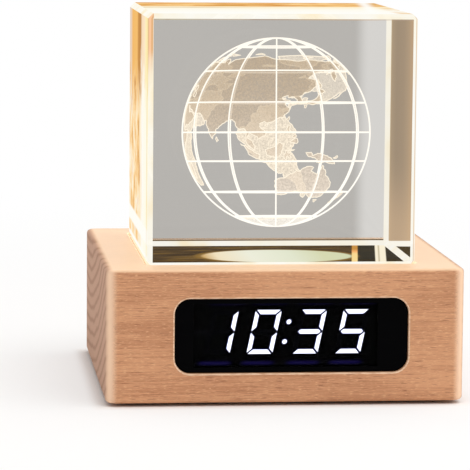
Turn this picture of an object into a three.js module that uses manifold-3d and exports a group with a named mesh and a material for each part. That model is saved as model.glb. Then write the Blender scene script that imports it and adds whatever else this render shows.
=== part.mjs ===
// A crystal alarm clock: a beech base with a lit clock display behind a smoked window, and a glass
// block with an engraved globe that stands in a shallow seat on top and is lit from below.
// Millimetres, +Z up, front towards -Y, +X to the right seen from the front.
// The origin is the middle of the base, on the surface that the clock stands on.

import * as THREE from 'three';
import { mergeVertices } from 'three/addons/utils/BufferGeometryUtils.js';
import Module from 'manifold-3d';

const wasm = await Module();
wasm.setup();

// Clearances and cutting allowances.
const faceGap = 0.05;
const fitGap = 0.3;
const overrun = 1;
const weldDistance = 0.0001;

// Beech housing.
const housingWidth = 106;
const housingDepth = 106;
const housingHeight = 39.4;
const housingCornerRadius = 3.5;
const housingEdgeRound = 1.2;
const wallThickness = 10;
const cavityCornerRadius = 8;
const ceilingThickness = 5;

// Seat for the glass block, with its pad.
const seatDepth = 1.7;
const seatClearance = 0.4;
const seatCornerRadius = 2;
const padThickness = 0.7;
const padInset = 0.6;

// Glass block and the globe inside it.
const crystalWidth = 80;
const crystalDepth = 80;
const crystalHeight = 75;
const crystalChamfer = 1.5;
const globeRadius = 28.9;
const globeRise = 0.3;
const globeShift = 1.3;
const landRise = 0.5;
const ventRadius = 0.6;
const globeTiltDegrees = 3.4;
const globeTurnDegrees = 4.5;
const frontLongitude = 114.7;
const mapStretchShare = 0.16;
const mapSqueezeShare = 0.85;
const mapDropDegrees = 7;
const mapLeanDegrees = 5;

// Bottom cover, its screws and the rubber feet.
const footHeight = 1.15;
const footRadius = 4.5;
const footInset = 12;
const coverRecess = 0.2;
const coverThickness = 2.5;
const coverRim = 4.7;
const coverCornerRadius = 4;
const coverScrewInset = 5.1;
const coverScrewLength = 11;

// Battery bay: three AAA cells side by side, with their springs, contacts, tray and door.
const cellDiameter = 10.5;
const cellLength = 44.5;
const cellNubRadius = 1.9;
const cellNubHeight = 1;
const cellSpace = 0.8;
const contactThickness = 0.5;
const contactWidth = 8;
const springLength = 5;
const springRadius = 3.4;
const springWire = 0.7;
const trayWall = 1.5;
const trayFlange = 2;
const bayCentreY = 4;
const doorThickness = 2;
const hingePinRadius = 0.7;
const hingePinLength = 1.5;
const doorGripDepth = 0.6;
const doorGripLength = 16;
const doorGripWidth = 3;

// Light unit under the glass block.
const lightHoleRadius = 24;
const lightDiscLedge = 2;
const lightDiscThickness = 1.5;
const cupWall = 1.4;
const cupFlangeWidth = 6.4;
const cupFlangeThickness = 1.5;
const lightBoardClearance = 4.5;
const cupFloorRadius = 12;
const ledHoleRadius = 4;
const lightBoardWidth = 22;
const ledRadius = 2.5;
const ledHeight = 2.6;
const ledDomeShare = 0.6;

// Display: smoked window, case, digits and the clock board behind them.
const windowSideMargin = 18.5;
const windowHeight = 22;
const windowCornerRadius = 4.5;
const windowCentreX = 1.65;
const windowRise = 0.1;
const windowRecess = 1.2;
const windowThickness = 2.5;
const caseEndInset = 6.75;
const caseEdgeInset = 1.3;
const digitEndMargin = 4.54;
const digitWidthShare = 0.6;
const digitHeight = 13;
const digitShift = 0.5;
const digitRise = 0.7;
const colonSpread = 0.7;
const segmentThickness = 1.25;
const segmentSplit = 0.8;
const segmentGap = 0.15;
const digitSlope = 0.21;
const plateMargin = 0.7;
const colonDotRadius = 0.7;
const colonDotRise = 2.95;
const colonBarWidth = 1.9;
const colonBarHeight = 9;
const boardThickness = 1.6;
const clockBoardDrop = 11;
const clockBoardHeadroom = 0.6;
const boardScrewGap = 3;
const boardScrewInset = 3;

// Parts on the clock board.
const chipWidth = 10;
const chipThickness = 1.7;
const quartzWidth = 10.5;
const quartzHeight = 4.2;
const quartzThickness = 3.4;
const buzzerRadius = 6;
const buzzerHeight = 8.5;
const buzzerPortRadius = 1.2;
const buzzerPortDepth = 2;
const boardPartGapShares = { buzzer: 0.065, quartz: 0.122, chip: 0.203 };

// Rear panel with its buttons, key board and power socket.
const panelWidth = 66;
const panelHeight = 20;
const panelThickness = 2;
const panelCornerRadius = 3;
const panelRecess = 1.5;
const panelLedge = 3;
const panelDrop = 0.7;
const buttonRadius = 2.5;
const buttonProud = 1.2;
const buttonEdge = 0.5;
const buttonFlange = 0.9;
const buttonFlangeThickness = 1;
const buttonStemRadius = 1.3;
const buttonStemLength = 0.4;
const buttonTravel = 0.5;
const buttonShares = [-1 / 3, -1 / 6, 0, 1 / 6];
const pressGap = 0.1;
const switchWidth = 6;
const switchBodyHeight = 3.5;
const switchPlungerHeight = 0.8;
const switchPlungerRadius = 1.7;
const bossRadius = 2.4;
const bossInset = 3.2;
const bossHoleDepth = 5;
const socketShare = 0.3135;
const socketWidth = 8.9;
const socketHeight = 3.2;
const socketWall = 0.3;
const socketRecess = 0.6;
const tongueWidth = 6.4;
const tongueThickness = 0.7;
const tongueSetback = 0.8;

// Screws: wood screws in the cover, the clock board and the cup, and a shorter one in the bosses.
const screwRadius = 1.2;
const screwHeadRadius = 2.3;
const screwHeadHeight = 1.3;
const screwHeadTopShare = 0.7;
const boardScrewLength = 6.5;
const cupScrewLength = 4.2;
const bossScrewLength = 5.5;
const screwTip = 0.8;

// Leads inside the housing.
const leadRadius = 0.8;
const ribbonWidth = 6;
const ribbonThickness = 0.8;
const ribbonDrop = 4.5;
const leadDrop = 7.5;

// Counts of steps and sides, for round shapes.
const cornerSteps = 5;
const housingRoundSteps = 3;
const holeSides = 32;
const smallSides = 10;
const discSides = 28;
const cellSides = 14;
const springCurls = 3;
const springSteps = 8;
const springSides = 5;
const leadSides = 8;
const leadSteps = 14;
const ribbonSteps = 20;
const globeColumns = 48;
const globeRows = 24;
const cavityColumns = 30;
const cavityRows = 16;

// Heights and faces that follow from the sizes above.
const coverBottom = footHeight + faceGap;
const baseBottom = coverBottom - coverRecess;
const baseTop = baseBottom + housingHeight;
const coverTop = coverBottom + coverThickness;
const seatFloor = baseTop - seatDepth;
const ceilingUnder = seatFloor - ceilingThickness;
const padBottom = seatFloor + faceGap;
const crystalBottom = padBottom + padThickness + faceGap;
const housingFront = -housingDepth / 2;
const housingBack = housingDepth / 2;
const cavityWidth = housingWidth - 2 * wallThickness;
const cavityDepth = housingDepth - 2 * wallThickness;
const cavityFront = -cavityDepth / 2;
const cavityBack = cavityDepth / 2;
const seatWidth = crystalWidth + 2 * seatClearance;
const seatLength = crystalDepth + 2 * seatClearance;
const coverWidth = housingWidth - 2 * coverRim - 2 * fitGap;
const coverDepth = housingDepth - 2 * coverRim - 2 * fitGap;
const windowCentreZ = baseBottom + housingHeight / 2 + windowRise;
const panelCentreZ = baseBottom + housingHeight / 2 - panelDrop;
const windowWidth = housingWidth - 2 * windowSideMargin;
const caseWidth = windowWidth - 2 * caseEndInset;
const caseHeight = windowHeight - 2 * caseEdgeInset;
const digitPitch = (caseWidth - 2 * digitEndMargin - colonSpread) / (3 + digitWidthShare);
const digitWidth = digitWidthShare * digitPitch;
const boardScrewX = caseWidth / 2 + boardScrewGap;
const clockBoardWidth = 2 * (boardScrewX + boardScrewInset);
const lightDiscRadius = lightHoleRadius + lightDiscLedge - fitGap;
const lightLedgeZ = seatFloor - lightDiscThickness - 2 * faceGap;
const cupRadius = lightHoleRadius - seatClearance;
const cupFlangeRadius = cupRadius + cupFlangeWidth;
const cupFlangeTop = ceilingUnder - faceGap;
const cupScrewRadius = cupRadius + cupFlangeWidth / 2;

const cellRadius = cellDiameter / 2;
const cellPitch = cellDiameter + cellSpace;
const bayLength = contactThickness + cellLength + springLength + 2 * faceGap + 2 * fitGap;
const bayWidth = 2 * cellPitch + cellDiameter + 2 * fitGap;
const doorBottom = coverBottom;
const cellCentreZ = doorBottom + doorThickness + fitGap + cellRadius;
const trayInnerTop = cellCentreZ + cellRadius + fitGap;
const hingeY = -bayWidth / 2 + fitGap + doorThickness / 2;
const hingeZ = doorBottom + doorThickness / 2;

const screwHole = screwRadius + fitGap;
const screwHeadHole = screwHeadRadius + fitGap;

// A mesh geometry made a solid that can be joined and cut.
function toSolid(geometry) {
  geometry.deleteAttribute('normal');
  geometry.deleteAttribute('uv');
  const merged = mergeVertices(geometry, weldDistance);
  return new wasm.Manifold(new wasm.Mesh({
    numProp: 3,
    vertProperties: Float32Array.from(merged.attributes.position.array),
    triVerts: Uint32Array.from(merged.index.array),
  }));
}

function toGeometry(solid) {
  const mesh = solid.getMesh();
  const geometry = new THREE.BufferGeometry();
  geometry.setAttribute('position', new THREE.BufferAttribute(Float32Array.from(mesh.vertProperties), 3));
  geometry.setIndex(new THREE.BufferAttribute(Uint32Array.from(mesh.triVerts), 1));
  geometry.computeVertexNormals();
  return geometry;
}

function cut(body, tools) {
  return toGeometry(tools.reduce((left, tool) => left.subtract(toSolid(tool)), toSolid(body)));
}

function join(pieces) {
  return toGeometry(pieces.map(toSolid).reduce((whole, piece) => whole.add(piece)));
}

function overlapOf(first, second) {
  return toGeometry(toSolid(first).intersect(toSolid(second)));
}

// Outlines, as lists of points in a plane.
function rectangle(width, height) {
  return [
    new THREE.Vector2(-width / 2, -height / 2),
    new THREE.Vector2(width / 2, -height / 2),
    new THREE.Vector2(width / 2, height / 2),
    new THREE.Vector2(-width / 2, height / 2),
  ];
}

function roundedRectangle(width, height, radius, steps = cornerSteps) {
  const points = [];
  const signs = [[1, 1], [-1, 1], [-1, -1], [1, -1]];
  signs.forEach(([signX, signY], corner) => {
    for (let step = 0; step <= steps; step += 1) {
      const angle = (corner + step / steps) * Math.PI / 2;
      points.push(new THREE.Vector2(
        signX * (width / 2 - radius) + radius * Math.cos(angle),
        signY * (height / 2 - radius) + radius * Math.sin(angle),
      ));
    }
  });
  return points;
}

function chamferedRectangle(width, height, chamfer) {
  return roundedRectangle(width, height, chamfer, 1);
}

function polygon(radius, sides) {
  const points = [];
  for (let side = 0; side < sides; side += 1) {
    const angle = 2 * Math.PI * side / sides;
    points.push(new THREE.Vector2(radius * Math.cos(angle), radius * Math.sin(angle)));
  }
  return points;
}

// The outline leant over to the right with height, as the digits are.
function slanted(points) {
  return points.map((point) => new THREE.Vector2(point.x + digitSlope * point.y, point.y));
}

// A straight column of the outline from one height to the next, along Z.
function column(points, bottom, top, x = 0, y = 0) {
  const settings = { depth: top - bottom, bevelEnabled: false };
  return new THREE.ExtrudeGeometry(new THREE.Shape(points), settings).translate(x, y, bottom);
}

// The same along Y, with the outline drawn as X and Z.
function bar(points, front, back, x = 0, z = 0) {
  const settings = { depth: back - front, bevelEnabled: false };
  const geometry = new THREE.ExtrudeGeometry(new THREE.Shape(points), settings);
  return geometry.rotateX(Math.PI / 2).translate(x, back, z);
}

// A piece turned on a lathe about the Y axis: each place of the profile is a radius and a height.
function turned(profile, sides) {
  const points = profile.map(([radius, height]) => new THREE.Vector2(radius, height));
  return new THREE.LatheGeometry(points, sides);
}

function turnedUpright(profile, sides) {
  return turned(profile, sides).rotateX(Math.PI / 2);
}

// Materials, with the colours that the photograph shows.
function finish(color, roughness, metalness = 0) {
  return new THREE.MeshStandardMaterial({ color, roughness, metalness });
}
const beech = finish(0xd6a279, 0.6);
const clearGlass = new THREE.MeshStandardMaterial({
  color: 0xd8d6cf, roughness: 0.05, metalness: 0, transparent: true, opacity: 0.35,
});
const frostedGlass = finish(0xf3ead6, 0.9);
const smokedAcrylic = finish(0x14151a, 0.15);
const blackPlastic = finish(0x1d1d1f, 0.55);
const whitePlastic = finish(0xf0eee8, 0.5);
const diffuser = finish(0xe6ecff, 0.4);
const rubber = finish(0x2a2a2a, 0.9);
const felt = finish(0x4a3f34, 0.95);
const steel = finish(0xb9bcc0, 0.35, 0.9);
const springSteel = finish(0xc9ccd0, 0.3, 0.9);
const circuitBoard = finish(0x1f5c3a, 0.6);
const cellSleeve = finish(0x3a6b4f, 0.4);
const leadSheath = finish(0xb03028, 0.6);
const ribbonSheath = finish(0xdedede, 0.5);

const clock = new THREE.Group();

function place(name, geometry, material, parent = clock) {
  const mesh = new THREE.Mesh(geometry, material);
  mesh.name = name;
  parent.add(mesh);
  return mesh;
}

function groupAt(x, y, z, parent = clock) {
  const group = new THREE.Group();
  group.position.set(x, y, z);
  parent.add(group);
  return group;
}

// The four corner places of a width and a depth, front left first and then round to the right.
function cornersOf(width, depth) {
  const signs = [[-1, -1], [1, -1], [1, 1], [-1, 1]];
  return signs.map(([signX, signY]) => [signX * width / 2, signY * depth / 2]);
}

const coverScrewPlaces = cornersOf(coverWidth - 2 * coverScrewInset, coverDepth - 2 * coverScrewInset);

// A screw along +Z: the underside of its head lies at zero and its shank runs upwards.
function screwGeometry(length) {
  return turnedUpright([
    [0, -screwHeadHeight],
    [screwHeadTopShare * screwHeadRadius, -screwHeadHeight],
    [screwHeadRadius, -screwHeadHeight / 2],
    [screwHeadRadius, 0],
    [screwRadius, 0],
    [screwRadius, length - screwTip],
    [0, length],
  ], smallSides);
}

// Housing: one block of beech, hollowed from below, with its seat, its window opening and its rear opening.
function roundedBlock() {
  const inset = 2 * housingEdgeRound;
  const innerRadius = housingCornerRadius - housingEdgeRound;
  const outline = roundedRectangle(housingWidth - inset, housingDepth - inset, innerRadius);
  const geometry = new THREE.ExtrudeGeometry(new THREE.Shape(outline), {
    depth: housingHeight - inset,
    bevelEnabled: true,
    bevelThickness: housingEdgeRound,
    bevelSize: housingEdgeRound,
    bevelSegments: housingRoundSteps,
  });
  return geometry.translate(0, 0, baseBottom + housingEdgeRound);
}

const windowPocketBack = housingFront + windowRecess + windowThickness + faceGap;
const panelPocketFront = housingBack - panelRecess - panelThickness - faceGap;
const rearOpeningWidth = panelWidth - 2 * panelLedge;
const rearOpeningHeight = panelHeight - 2 * panelLedge;

function housingGeometry() {
  const cavityOutline = roundedRectangle(cavityWidth, cavityDepth, cavityCornerRadius);
  const rebateOutline = roundedRectangle(coverWidth + 2 * fitGap, coverDepth + 2 * fitGap, coverCornerRadius);
  const seatOutline = roundedRectangle(seatWidth, seatLength, seatCornerRadius);
  const caseOpening = rectangle(caseWidth + 2 * fitGap, caseHeight + 2 * fitGap);
  const rearOpening = rectangle(rearOpeningWidth, rearOpeningHeight);
  const tools = [
    column(cavityOutline, baseBottom - overrun, ceilingUnder),
    column(rebateOutline, baseBottom - overrun, coverTop + faceGap),
    column(seatOutline, seatFloor, baseTop + overrun),
    column(polygon(lightHoleRadius, holeSides), ceilingUnder - overrun, seatFloor + overrun),
    column(polygon(lightHoleRadius + lightDiscLedge, holeSides), lightLedgeZ, seatFloor + overrun),
    bar(
      roundedRectangle(windowWidth + 2 * faceGap, windowHeight + 2 * faceGap, windowCornerRadius + faceGap),
      housingFront - overrun,
      windowPocketBack,
      windowCentreX,
      windowCentreZ,
    ),
    bar(caseOpening, windowPocketBack - overrun, cavityFront + overrun, 0, windowCentreZ),
    bar(
      roundedRectangle(panelWidth + 2 * fitGap, panelHeight + 2 * fitGap, panelCornerRadius + fitGap),
      panelPocketFront,
      housingBack + overrun,
      0,
      panelCentreZ,
    ),
    bar(rearOpening, cavityBack - overrun, panelPocketFront + overrun, 0, panelCentreZ),
  ];
  coverScrewPlaces.forEach(([x, y]) => {
    tools.push(column(polygon(screwHole, smallSides), coverTop, coverTop + coverScrewLength, x, y));
  });
  [-1, 1].forEach((side) => {
    tools.push(bar(
      polygon(screwHole, smallSides),
      cavityFront - boardScrewLength + boardThickness - fitGap,
      cavityFront + overrun,
      side * boardScrewX,
      windowCentreZ,
    ));
    tools.push(column(
      polygon(screwHole, smallSides),
      ceilingUnder - overrun,
      ceilingUnder + cupScrewLength - cupFlangeThickness + fitGap,
      side * cupScrewRadius,
      0,
    ));
  });
  return cut(roundedBlock(), tools);
}
place('wood_housing', housingGeometry(), beech);

// Glass block: every edge chamfered alike, hollow only where the engraved globe is, with a fine vent below.
const crystal = groupAt(0, 0, crystalBottom);
const globeCentreZ = crystalHeight / 2 + globeRise;

function chamferedBlock() {
  const inset = 2 * crystalChamfer;
  const innerOutline = rectangle(crystalWidth - inset, crystalDepth - inset);
  const flat = new THREE.ExtrudeGeometry(new THREE.Shape(innerOutline), {
    depth: crystalHeight - inset,
    bevelEnabled: true,
    bevelThickness: crystalChamfer,
    bevelSize: crystalChamfer,
    bevelSegments: 1,
  }).translate(0, 0, crystalChamfer);
  const outline = chamferedRectangle(crystalWidth, crystalDepth, crystalChamfer);
  const upright = column(outline, -overrun, crystalHeight + overrun);
  return overlapOf(flat, upright);
}

// The farthest that a facet of the cavity lies inside its sphere is a share of its radius.
const cavityFacetShare = 1 - Math.cos(Math.PI / cavityColumns) * Math.cos(Math.PI / cavityRows / 2);
const cavityRadius = (globeRadius + fitGap) / (1 - cavityFacetShare);

function crystalGeometry() {
  const cavity = new THREE.SphereGeometry(cavityRadius, cavityColumns, cavityRows);
  cavity.rotateX(Math.PI / 2).translate(globeShift, 0, globeCentreZ);
  const ventTop = globeCentreZ - globeRadius;
  const vent = column(polygon(ventRadius, smallSides / 2), -overrun, ventTop, globeShift);
  return cut(chamferedBlock(), [cavity, vent]);
}
place('crystal_block', crystalGeometry(), clearGlass, crystal);

// Coasts of the main lands in degrees of longitude and latitude, drawn coarsely by hand.
const landOutlines = [
  [
    [-10, 36], [-9, 43], [-1, 44], [-5, 48], [5, 53], [10, 55], [12, 57], [5, 59],
    [6, 63], [16, 69], [28, 71], [41, 67], [45, 68], [60, 69], [68, 73], [80, 73],
    [104, 78], [115, 74], [140, 73], [160, 70], [180, 69], [190, 66], [178, 62], [163, 60],
    [162, 54], [156, 51], [155, 58], [142, 59], [136, 54], [141, 50], [135, 43], [129, 41],
    [129, 35], [126, 35], [125, 40], [118, 39], [122, 37], [120, 34], [122, 30], [118, 24],
    [110, 20], [106, 20], [109, 13], [105, 9], [101, 13], [104, 1], [99, 8], [97, 17],
    [91, 22], [87, 21], [80, 15], [77, 8], [73, 18], [67, 24], [57, 26], [50, 30],
    [56, 25], [59, 22], [52, 15], [44, 12], [39, 21], [34, 28], [35, 36], [27, 37],
    [24, 36], [20, 40], [14, 45], [18, 40], [15, 38], [8, 44], [3, 43], [-1, 37],
  ],
  [
    [-6, 36], [10, 37], [20, 32], [32, 31], [37, 21], [43, 11], [51, 12], [42, -2],
    [40, -15], [35, -20], [32, -28], [26, -34], [18, -34], [12, -17], [13, -5], [9, 1],
    [8, 5], [-4, 5], [-12, 8], [-17, 14], [-17, 21], [-9, 32],
  ],
  [
    [114, -22], [122, -18], [130, -12], [136, -12], [141, -17], [142, -11], [146, -19], [153, -26],
    [150, -37], [144, -38], [136, -35], [131, -31], [116, -35],
  ],
  [
    [-168, 66], [-156, 71], [-128, 70], [-95, 72], [-82, 68], [-94, 59], [-80, 52], [-78, 62],
    [-64, 60], [-56, 52], [-66, 45], [-74, 40], [-76, 35], [-81, 31], [-80, 25], [-84, 30],
    [-97, 27], [-97, 20], [-91, 18], [-88, 16], [-83, 10], [-79, 8], [-95, 16], [-105, 21],
    [-114, 31], [-122, 37], [-124, 47], [-135, 58], [-152, 59], [-164, 55], [-158, 59],
  ],
  [
    [-79, 8], [-62, 10], [-50, 0], [-35, -6], [-39, -14], [-42, -23], [-49, -27], [-57, -37],
    [-65, -42], [-69, -52], [-74, -50], [-71, -30], [-71, -18], [-81, -5],
  ],
  [
    [-55, 60], [-42, 60], [-22, 70], [-20, 80], [-35, 83], [-60, 81], [-70, 77], [-54, 70],
  ],
  [
    [95, 5], [104, -3], [106, -6], [100, 0],
  ],
  [
    [109, 1], [117, 7], [118, 1], [115, -4], [110, -2],
  ],
  [
    [131, -1], [141, -3], [150, -10], [138, -8],
  ],
  [
    [130, 31], [136, 34], [141, 37], [145, 43], [141, 45], [139, 38], [132, 35],
  ],
  [
    [44, -25], [50, -15], [47, -25],
  ],
  [
    [-5, 50], [1, 52], [-3, 58], [-6, 57],
  ],
];

// The map is drawn on the globe as the engraving has it: wider in front than behind, squeezed in height,
// and set lower in front. The result is a turn round the globe from its front and a rise over its middle.
function drawnPlace([longitude, latitude]) {
  const turn = THREE.MathUtils.degToRad(longitude - frontLongitude);
  return [
    THREE.MathUtils.radToDeg(turn + mapStretchShare * Math.sin(turn)),
    mapSqueezeShare * latitude - mapDropDegrees - mapLeanDegrees * Math.cos(turn),
  ];
}
const drawnOutlines = landOutlines.map((outline) => outline.map(drawnPlace));
const southernIceRise = -68;
const wholeTurns = [-360, 0, 360];

function insideOutline(turn, rise, outline) {
  let inside = false;
  outline.forEach(([thisTurn, thisRise], index) => {
    const [lastTurn, lastRise] = outline[(index + outline.length - 1) % outline.length];
    const crosses = (thisRise > rise) !== (lastRise > rise);
    const share = (rise - thisRise) / (lastRise - thisRise);
    if (crosses && turn < thisTurn + share * (lastTurn - thisTurn)) {
      inside = !inside;
    }
  });
  return inside;
}

function onLand(turn, rise) {
  const within = (outline) => wholeTurns.some((whole) => insideOutline(turn + whole, rise, outline));
  return rise < southernIceRise || drawnOutlines.some(within);
}

// The globe: a ball of rings and columns whose lands stand a little proud, as the engraving shows them.
// Its axis leans back a little and its front is turned a little to the left, as the engraving was seen.
function globeGeometry() {
  const positions = [0, 0, -globeRadius];
  const triangles = [];
  for (let row = 1; row < globeRows; row += 1) {
    const rise = 180 * row / globeRows - 90;
    for (let step = 0; step < globeColumns; step += 1) {
      const turn = 360 * step / globeColumns;
      const seaDrop = onLand(turn, rise) ? 0 : landRise;
      const radius = globeRadius - seaDrop;
      const level = radius * Math.cos(THREE.MathUtils.degToRad(rise));
      positions.push(
        level * Math.sin(THREE.MathUtils.degToRad(turn)),
        -level * Math.cos(THREE.MathUtils.degToRad(turn)),
        radius * Math.sin(THREE.MathUtils.degToRad(rise)),
      );
    }
  }
  positions.push(0, 0, globeRadius - landRise);
  const top = positions.length / 3 - 1;
  const vertex = (row, step) => 1 + (row - 1) * globeColumns + (step % globeColumns);
  for (let step = 0; step < globeColumns; step += 1) {
    triangles.push(0, vertex(1, step + 1), vertex(1, step));
    triangles.push(top, vertex(globeRows - 1, step), vertex(globeRows - 1, step + 1));
    for (let row = 1; row < globeRows - 1; row += 1) {
      triangles.push(vertex(row, step), vertex(row, step + 1), vertex(row + 1, step + 1));
      triangles.push(vertex(row, step), vertex(row + 1, step + 1), vertex(row + 1, step));
    }
  }
  const geometry = new THREE.BufferGeometry();
  geometry.setAttribute('position', new THREE.Float32BufferAttribute(positions, 3));
  geometry.setIndex(triangles);
  geometry.computeVertexNormals();
  return geometry;
}
const globe = place('engraved_globe', globeGeometry(), frostedGlass, crystal);
globe.position.set(globeShift, 0, globeCentreZ);
globe.rotation.set(
  -THREE.MathUtils.degToRad(globeTiltDegrees),
  0,
  -THREE.MathUtils.degToRad(globeTurnDegrees),
);

// Felt pad under the glass block, open over the light.
function padGeometry() {
  const padTop = padBottom + padThickness;
  const outline = roundedRectangle(seatWidth - 2 * padInset, seatLength - 2 * padInset, seatCornerRadius);
  const hole = column(polygon(lightHoleRadius, holeSides), padBottom - overrun, padTop + overrun);
  return cut(column(outline, padBottom, padTop), [hole]);
}
place('crystal_pad', padGeometry(), felt);

// Light unit: a frosted disc in its ledge, the cup under it, and the board with its lamp below the cup.
const lightUnit = groupAt(0, 0, 0);
const lightDiscBottom = lightLedgeZ + faceGap;
place(
  'light_window',
  column(polygon(lightDiscRadius, holeSides), lightDiscBottom, lightDiscBottom + lightDiscThickness),
  diffuser,
  lightUnit,
);

const cupTop = lightLedgeZ - fitGap;
const cupFlangeBottom = cupFlangeTop - cupFlangeThickness;
const lightBoardBottom = trayInnerTop + trayWall + lightBoardClearance;
const lightBoardTop = lightBoardBottom + boardThickness;
const cupBottom = lightBoardTop + faceGap;

function cupGeometry() {
  const cup = turnedUpright([
    [ledHoleRadius, cupBottom],
    [cupFloorRadius + cupWall, cupBottom],
    [cupRadius, cupFlangeBottom],
    [cupFlangeRadius, cupFlangeBottom],
    [cupFlangeRadius, cupFlangeTop],
    [cupRadius, cupFlangeTop],
    [cupRadius, cupTop],
    [cupRadius - cupWall, cupTop],
    [cupRadius - cupWall, cupFlangeBottom],
    [cupFloorRadius, cupBottom + cupWall],
    [ledHoleRadius, cupBottom + cupWall],
    [ledHoleRadius, cupBottom],
  ], discSides);
  const holes = [-1, 1].map((side) => column(
    polygon(screwHole, smallSides),
    cupFlangeBottom - overrun,
    cupFlangeTop + overrun,
    side * cupScrewRadius,
    0,
  ));
  return cut(cup, holes);
}
place('light_cup', cupGeometry(), whitePlastic, lightUnit);

const lightBoardOutline = chamferedRectangle(lightBoardWidth, lightBoardWidth, boardThickness);
place(
  'light_board',
  column(lightBoardOutline, lightBoardBottom, lightBoardTop),
  circuitBoard,
  lightUnit,
);
place(
  'light_led',
  turnedUpright([
    [0, 0],
    [ledRadius, 0],
    [ledRadius, ledDomeShare * ledHeight],
    [ledDomeShare * ledRadius, ledHeight],
    [0, ledHeight],
  ], smallSides),
  diffuser,
  lightUnit,
).position.z = lightBoardTop + faceGap;

[-1, 1].forEach((side, index) => {
  const screw = place(`cup_screw_${index + 1}`, screwGeometry(cupScrewLength), steel, lightUnit);
  screw.position.set(side * cupScrewRadius, 0, cupFlangeBottom - faceGap);
});

// Bottom cover: a flat plate in its rebate, with the battery opening, hinge notches and screw holes.
function coverGeometry() {
  const plate = column(
    roundedRectangle(coverWidth, coverDepth, coverCornerRadius - fitGap),
    coverBottom,
    coverTop,
  );
  const notchLength = bayLength + 2 * hingePinLength;
  const tools = [
    column(rectangle(bayLength, bayWidth), coverBottom - overrun, coverTop + overrun, 0, bayCentreY),
    column(
      rectangle(notchLength, 2 * (hingePinRadius + fitGap)),
      coverBottom - overrun,
      coverTop + overrun,
      0,
      bayCentreY + hingeY,
    ),
  ];
  coverScrewPlaces.forEach(([x, y]) => {
    tools.push(column(polygon(screwHole, smallSides), coverBottom - overrun, coverTop + overrun, x, y));
    tools.push(column(
      polygon(screwHeadHole, smallSides),
      coverBottom - overrun,
      coverBottom + screwHeadHeight + 2 * faceGap,
      x,
      y,
    ));
  });
  return cut(plate, tools);
}
place('bottom_cover', coverGeometry(), blackPlastic);

coverScrewPlaces.forEach(([x, y], index) => {
  const screw = place(`cover_screw_${index + 1}`, screwGeometry(coverScrewLength), steel);
  screw.position.set(x, y, coverBottom + screwHeadHeight + faceGap);
});

cornersOf(coverWidth - 2 * footInset, coverDepth - 2 * footInset).forEach(([x, y], index) => {
  const foot = place(
    `foot_${index + 1}`,
    turnedUpright([
      [0, 0],
      [footRadius - footHeight / 2, 0],
      [footRadius, footHeight / 2],
      [footRadius, footHeight],
      [0, footHeight],
    ], cellSides),
    rubber,
  );
  foot.position.set(x, y, 0);
});

// Battery bay, with everything placed from the middle of the bay.
const bay = groupAt(0, bayCentreY, 0);

function trayGeometry() {
  const trayBottom = coverTop + faceGap;
  const outerLength = bayLength + 2 * trayWall;
  const outerWidth = bayWidth + 2 * trayWall;
  const flangeOutline = rectangle(outerLength + 2 * trayFlange, outerWidth + 2 * trayFlange);
  const shell = join([
    column(rectangle(outerLength, outerWidth), trayBottom, trayInnerTop + trayWall),
    column(flangeOutline, trayBottom, trayBottom + trayWall),
  ]);
  return cut(shell, [column(rectangle(bayLength, bayWidth), trayBottom - overrun, trayInnerTop)]);
}
place('battery_tray', trayGeometry(), blackPlastic, bay);

// A cell along Y: its flat end at zero and its nub at the far end.
function cellGeometry() {
  const edge = cellNubHeight / 2;
  const shoulder = cellLength - cellNubHeight;
  return turned([
    [0, 0],
    [cellRadius - edge, 0],
    [cellRadius, edge],
    [cellRadius, shoulder - edge],
    [cellRadius - edge, shoulder],
    [cellNubRadius, shoulder],
    [cellNubRadius, cellLength],
    [0, cellLength],
  ], cellSides);
}

// A spring along Y from zero to its fitted length, with round curls in wire.
class SpringPath extends THREE.Curve {
  getPoint(share, target = new THREE.Vector3()) {
    const angle = 2 * Math.PI * springCurls * share;
    const climb = springWire / 2 + (springLength - springWire) * share;
    return target.set(springRadius * Math.cos(angle), climb, springRadius * Math.sin(angle));
  }
}

function springGeometry() {
  return new THREE.ExtrudeGeometry(new THREE.Shape(polygon(springWire / 2, springSides)), {
    steps: springCurls * springSteps,
    extrudePath: new SpringPath(),
  });
}

function leastSpringGap() {
  const samples = springCurls * springSteps;
  const points = new SpringPath().getPoints(samples);
  let least = springLength;
  points.forEach((point, index) => {
    points.slice(index + springSteps / 2).forEach((other) => {
      least = Math.min(least, point.distanceTo(other) - springWire);
    });
  });
  return least;
}
console.log(`least gap between spring curls ${leastSpringGap().toFixed(2)} mm`);

// Neighbouring cells point opposite ways, as they do when they work in series.
const contactOutline = chamferedRectangle(contactWidth, contactWidth, contactThickness);
[-1, 0, 1].forEach((lane, index) => {
  const pointing = lane === 0 ? -1 : 1;
  const row = groupAt(0, lane * cellPitch, cellCentreZ, bay);
  row.rotation.z = -pointing * Math.PI / 2;
  const springStart = -bayLength / 2 + faceGap;
  const cellStart = springStart + springLength + fitGap;
  place(`battery_spring_${index + 1}`, springGeometry(), springSteel, row).position.y = springStart;
  place(`battery_cell_${index + 1}`, cellGeometry(), cellSleeve, row).position.y = cellStart;
  const contactFront = cellStart + cellLength + fitGap;
  place(
    `battery_contact_${index + 1}`,
    bar(contactOutline, contactFront, contactFront + contactThickness),
    springSteel,
    row,
  );
});

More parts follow.
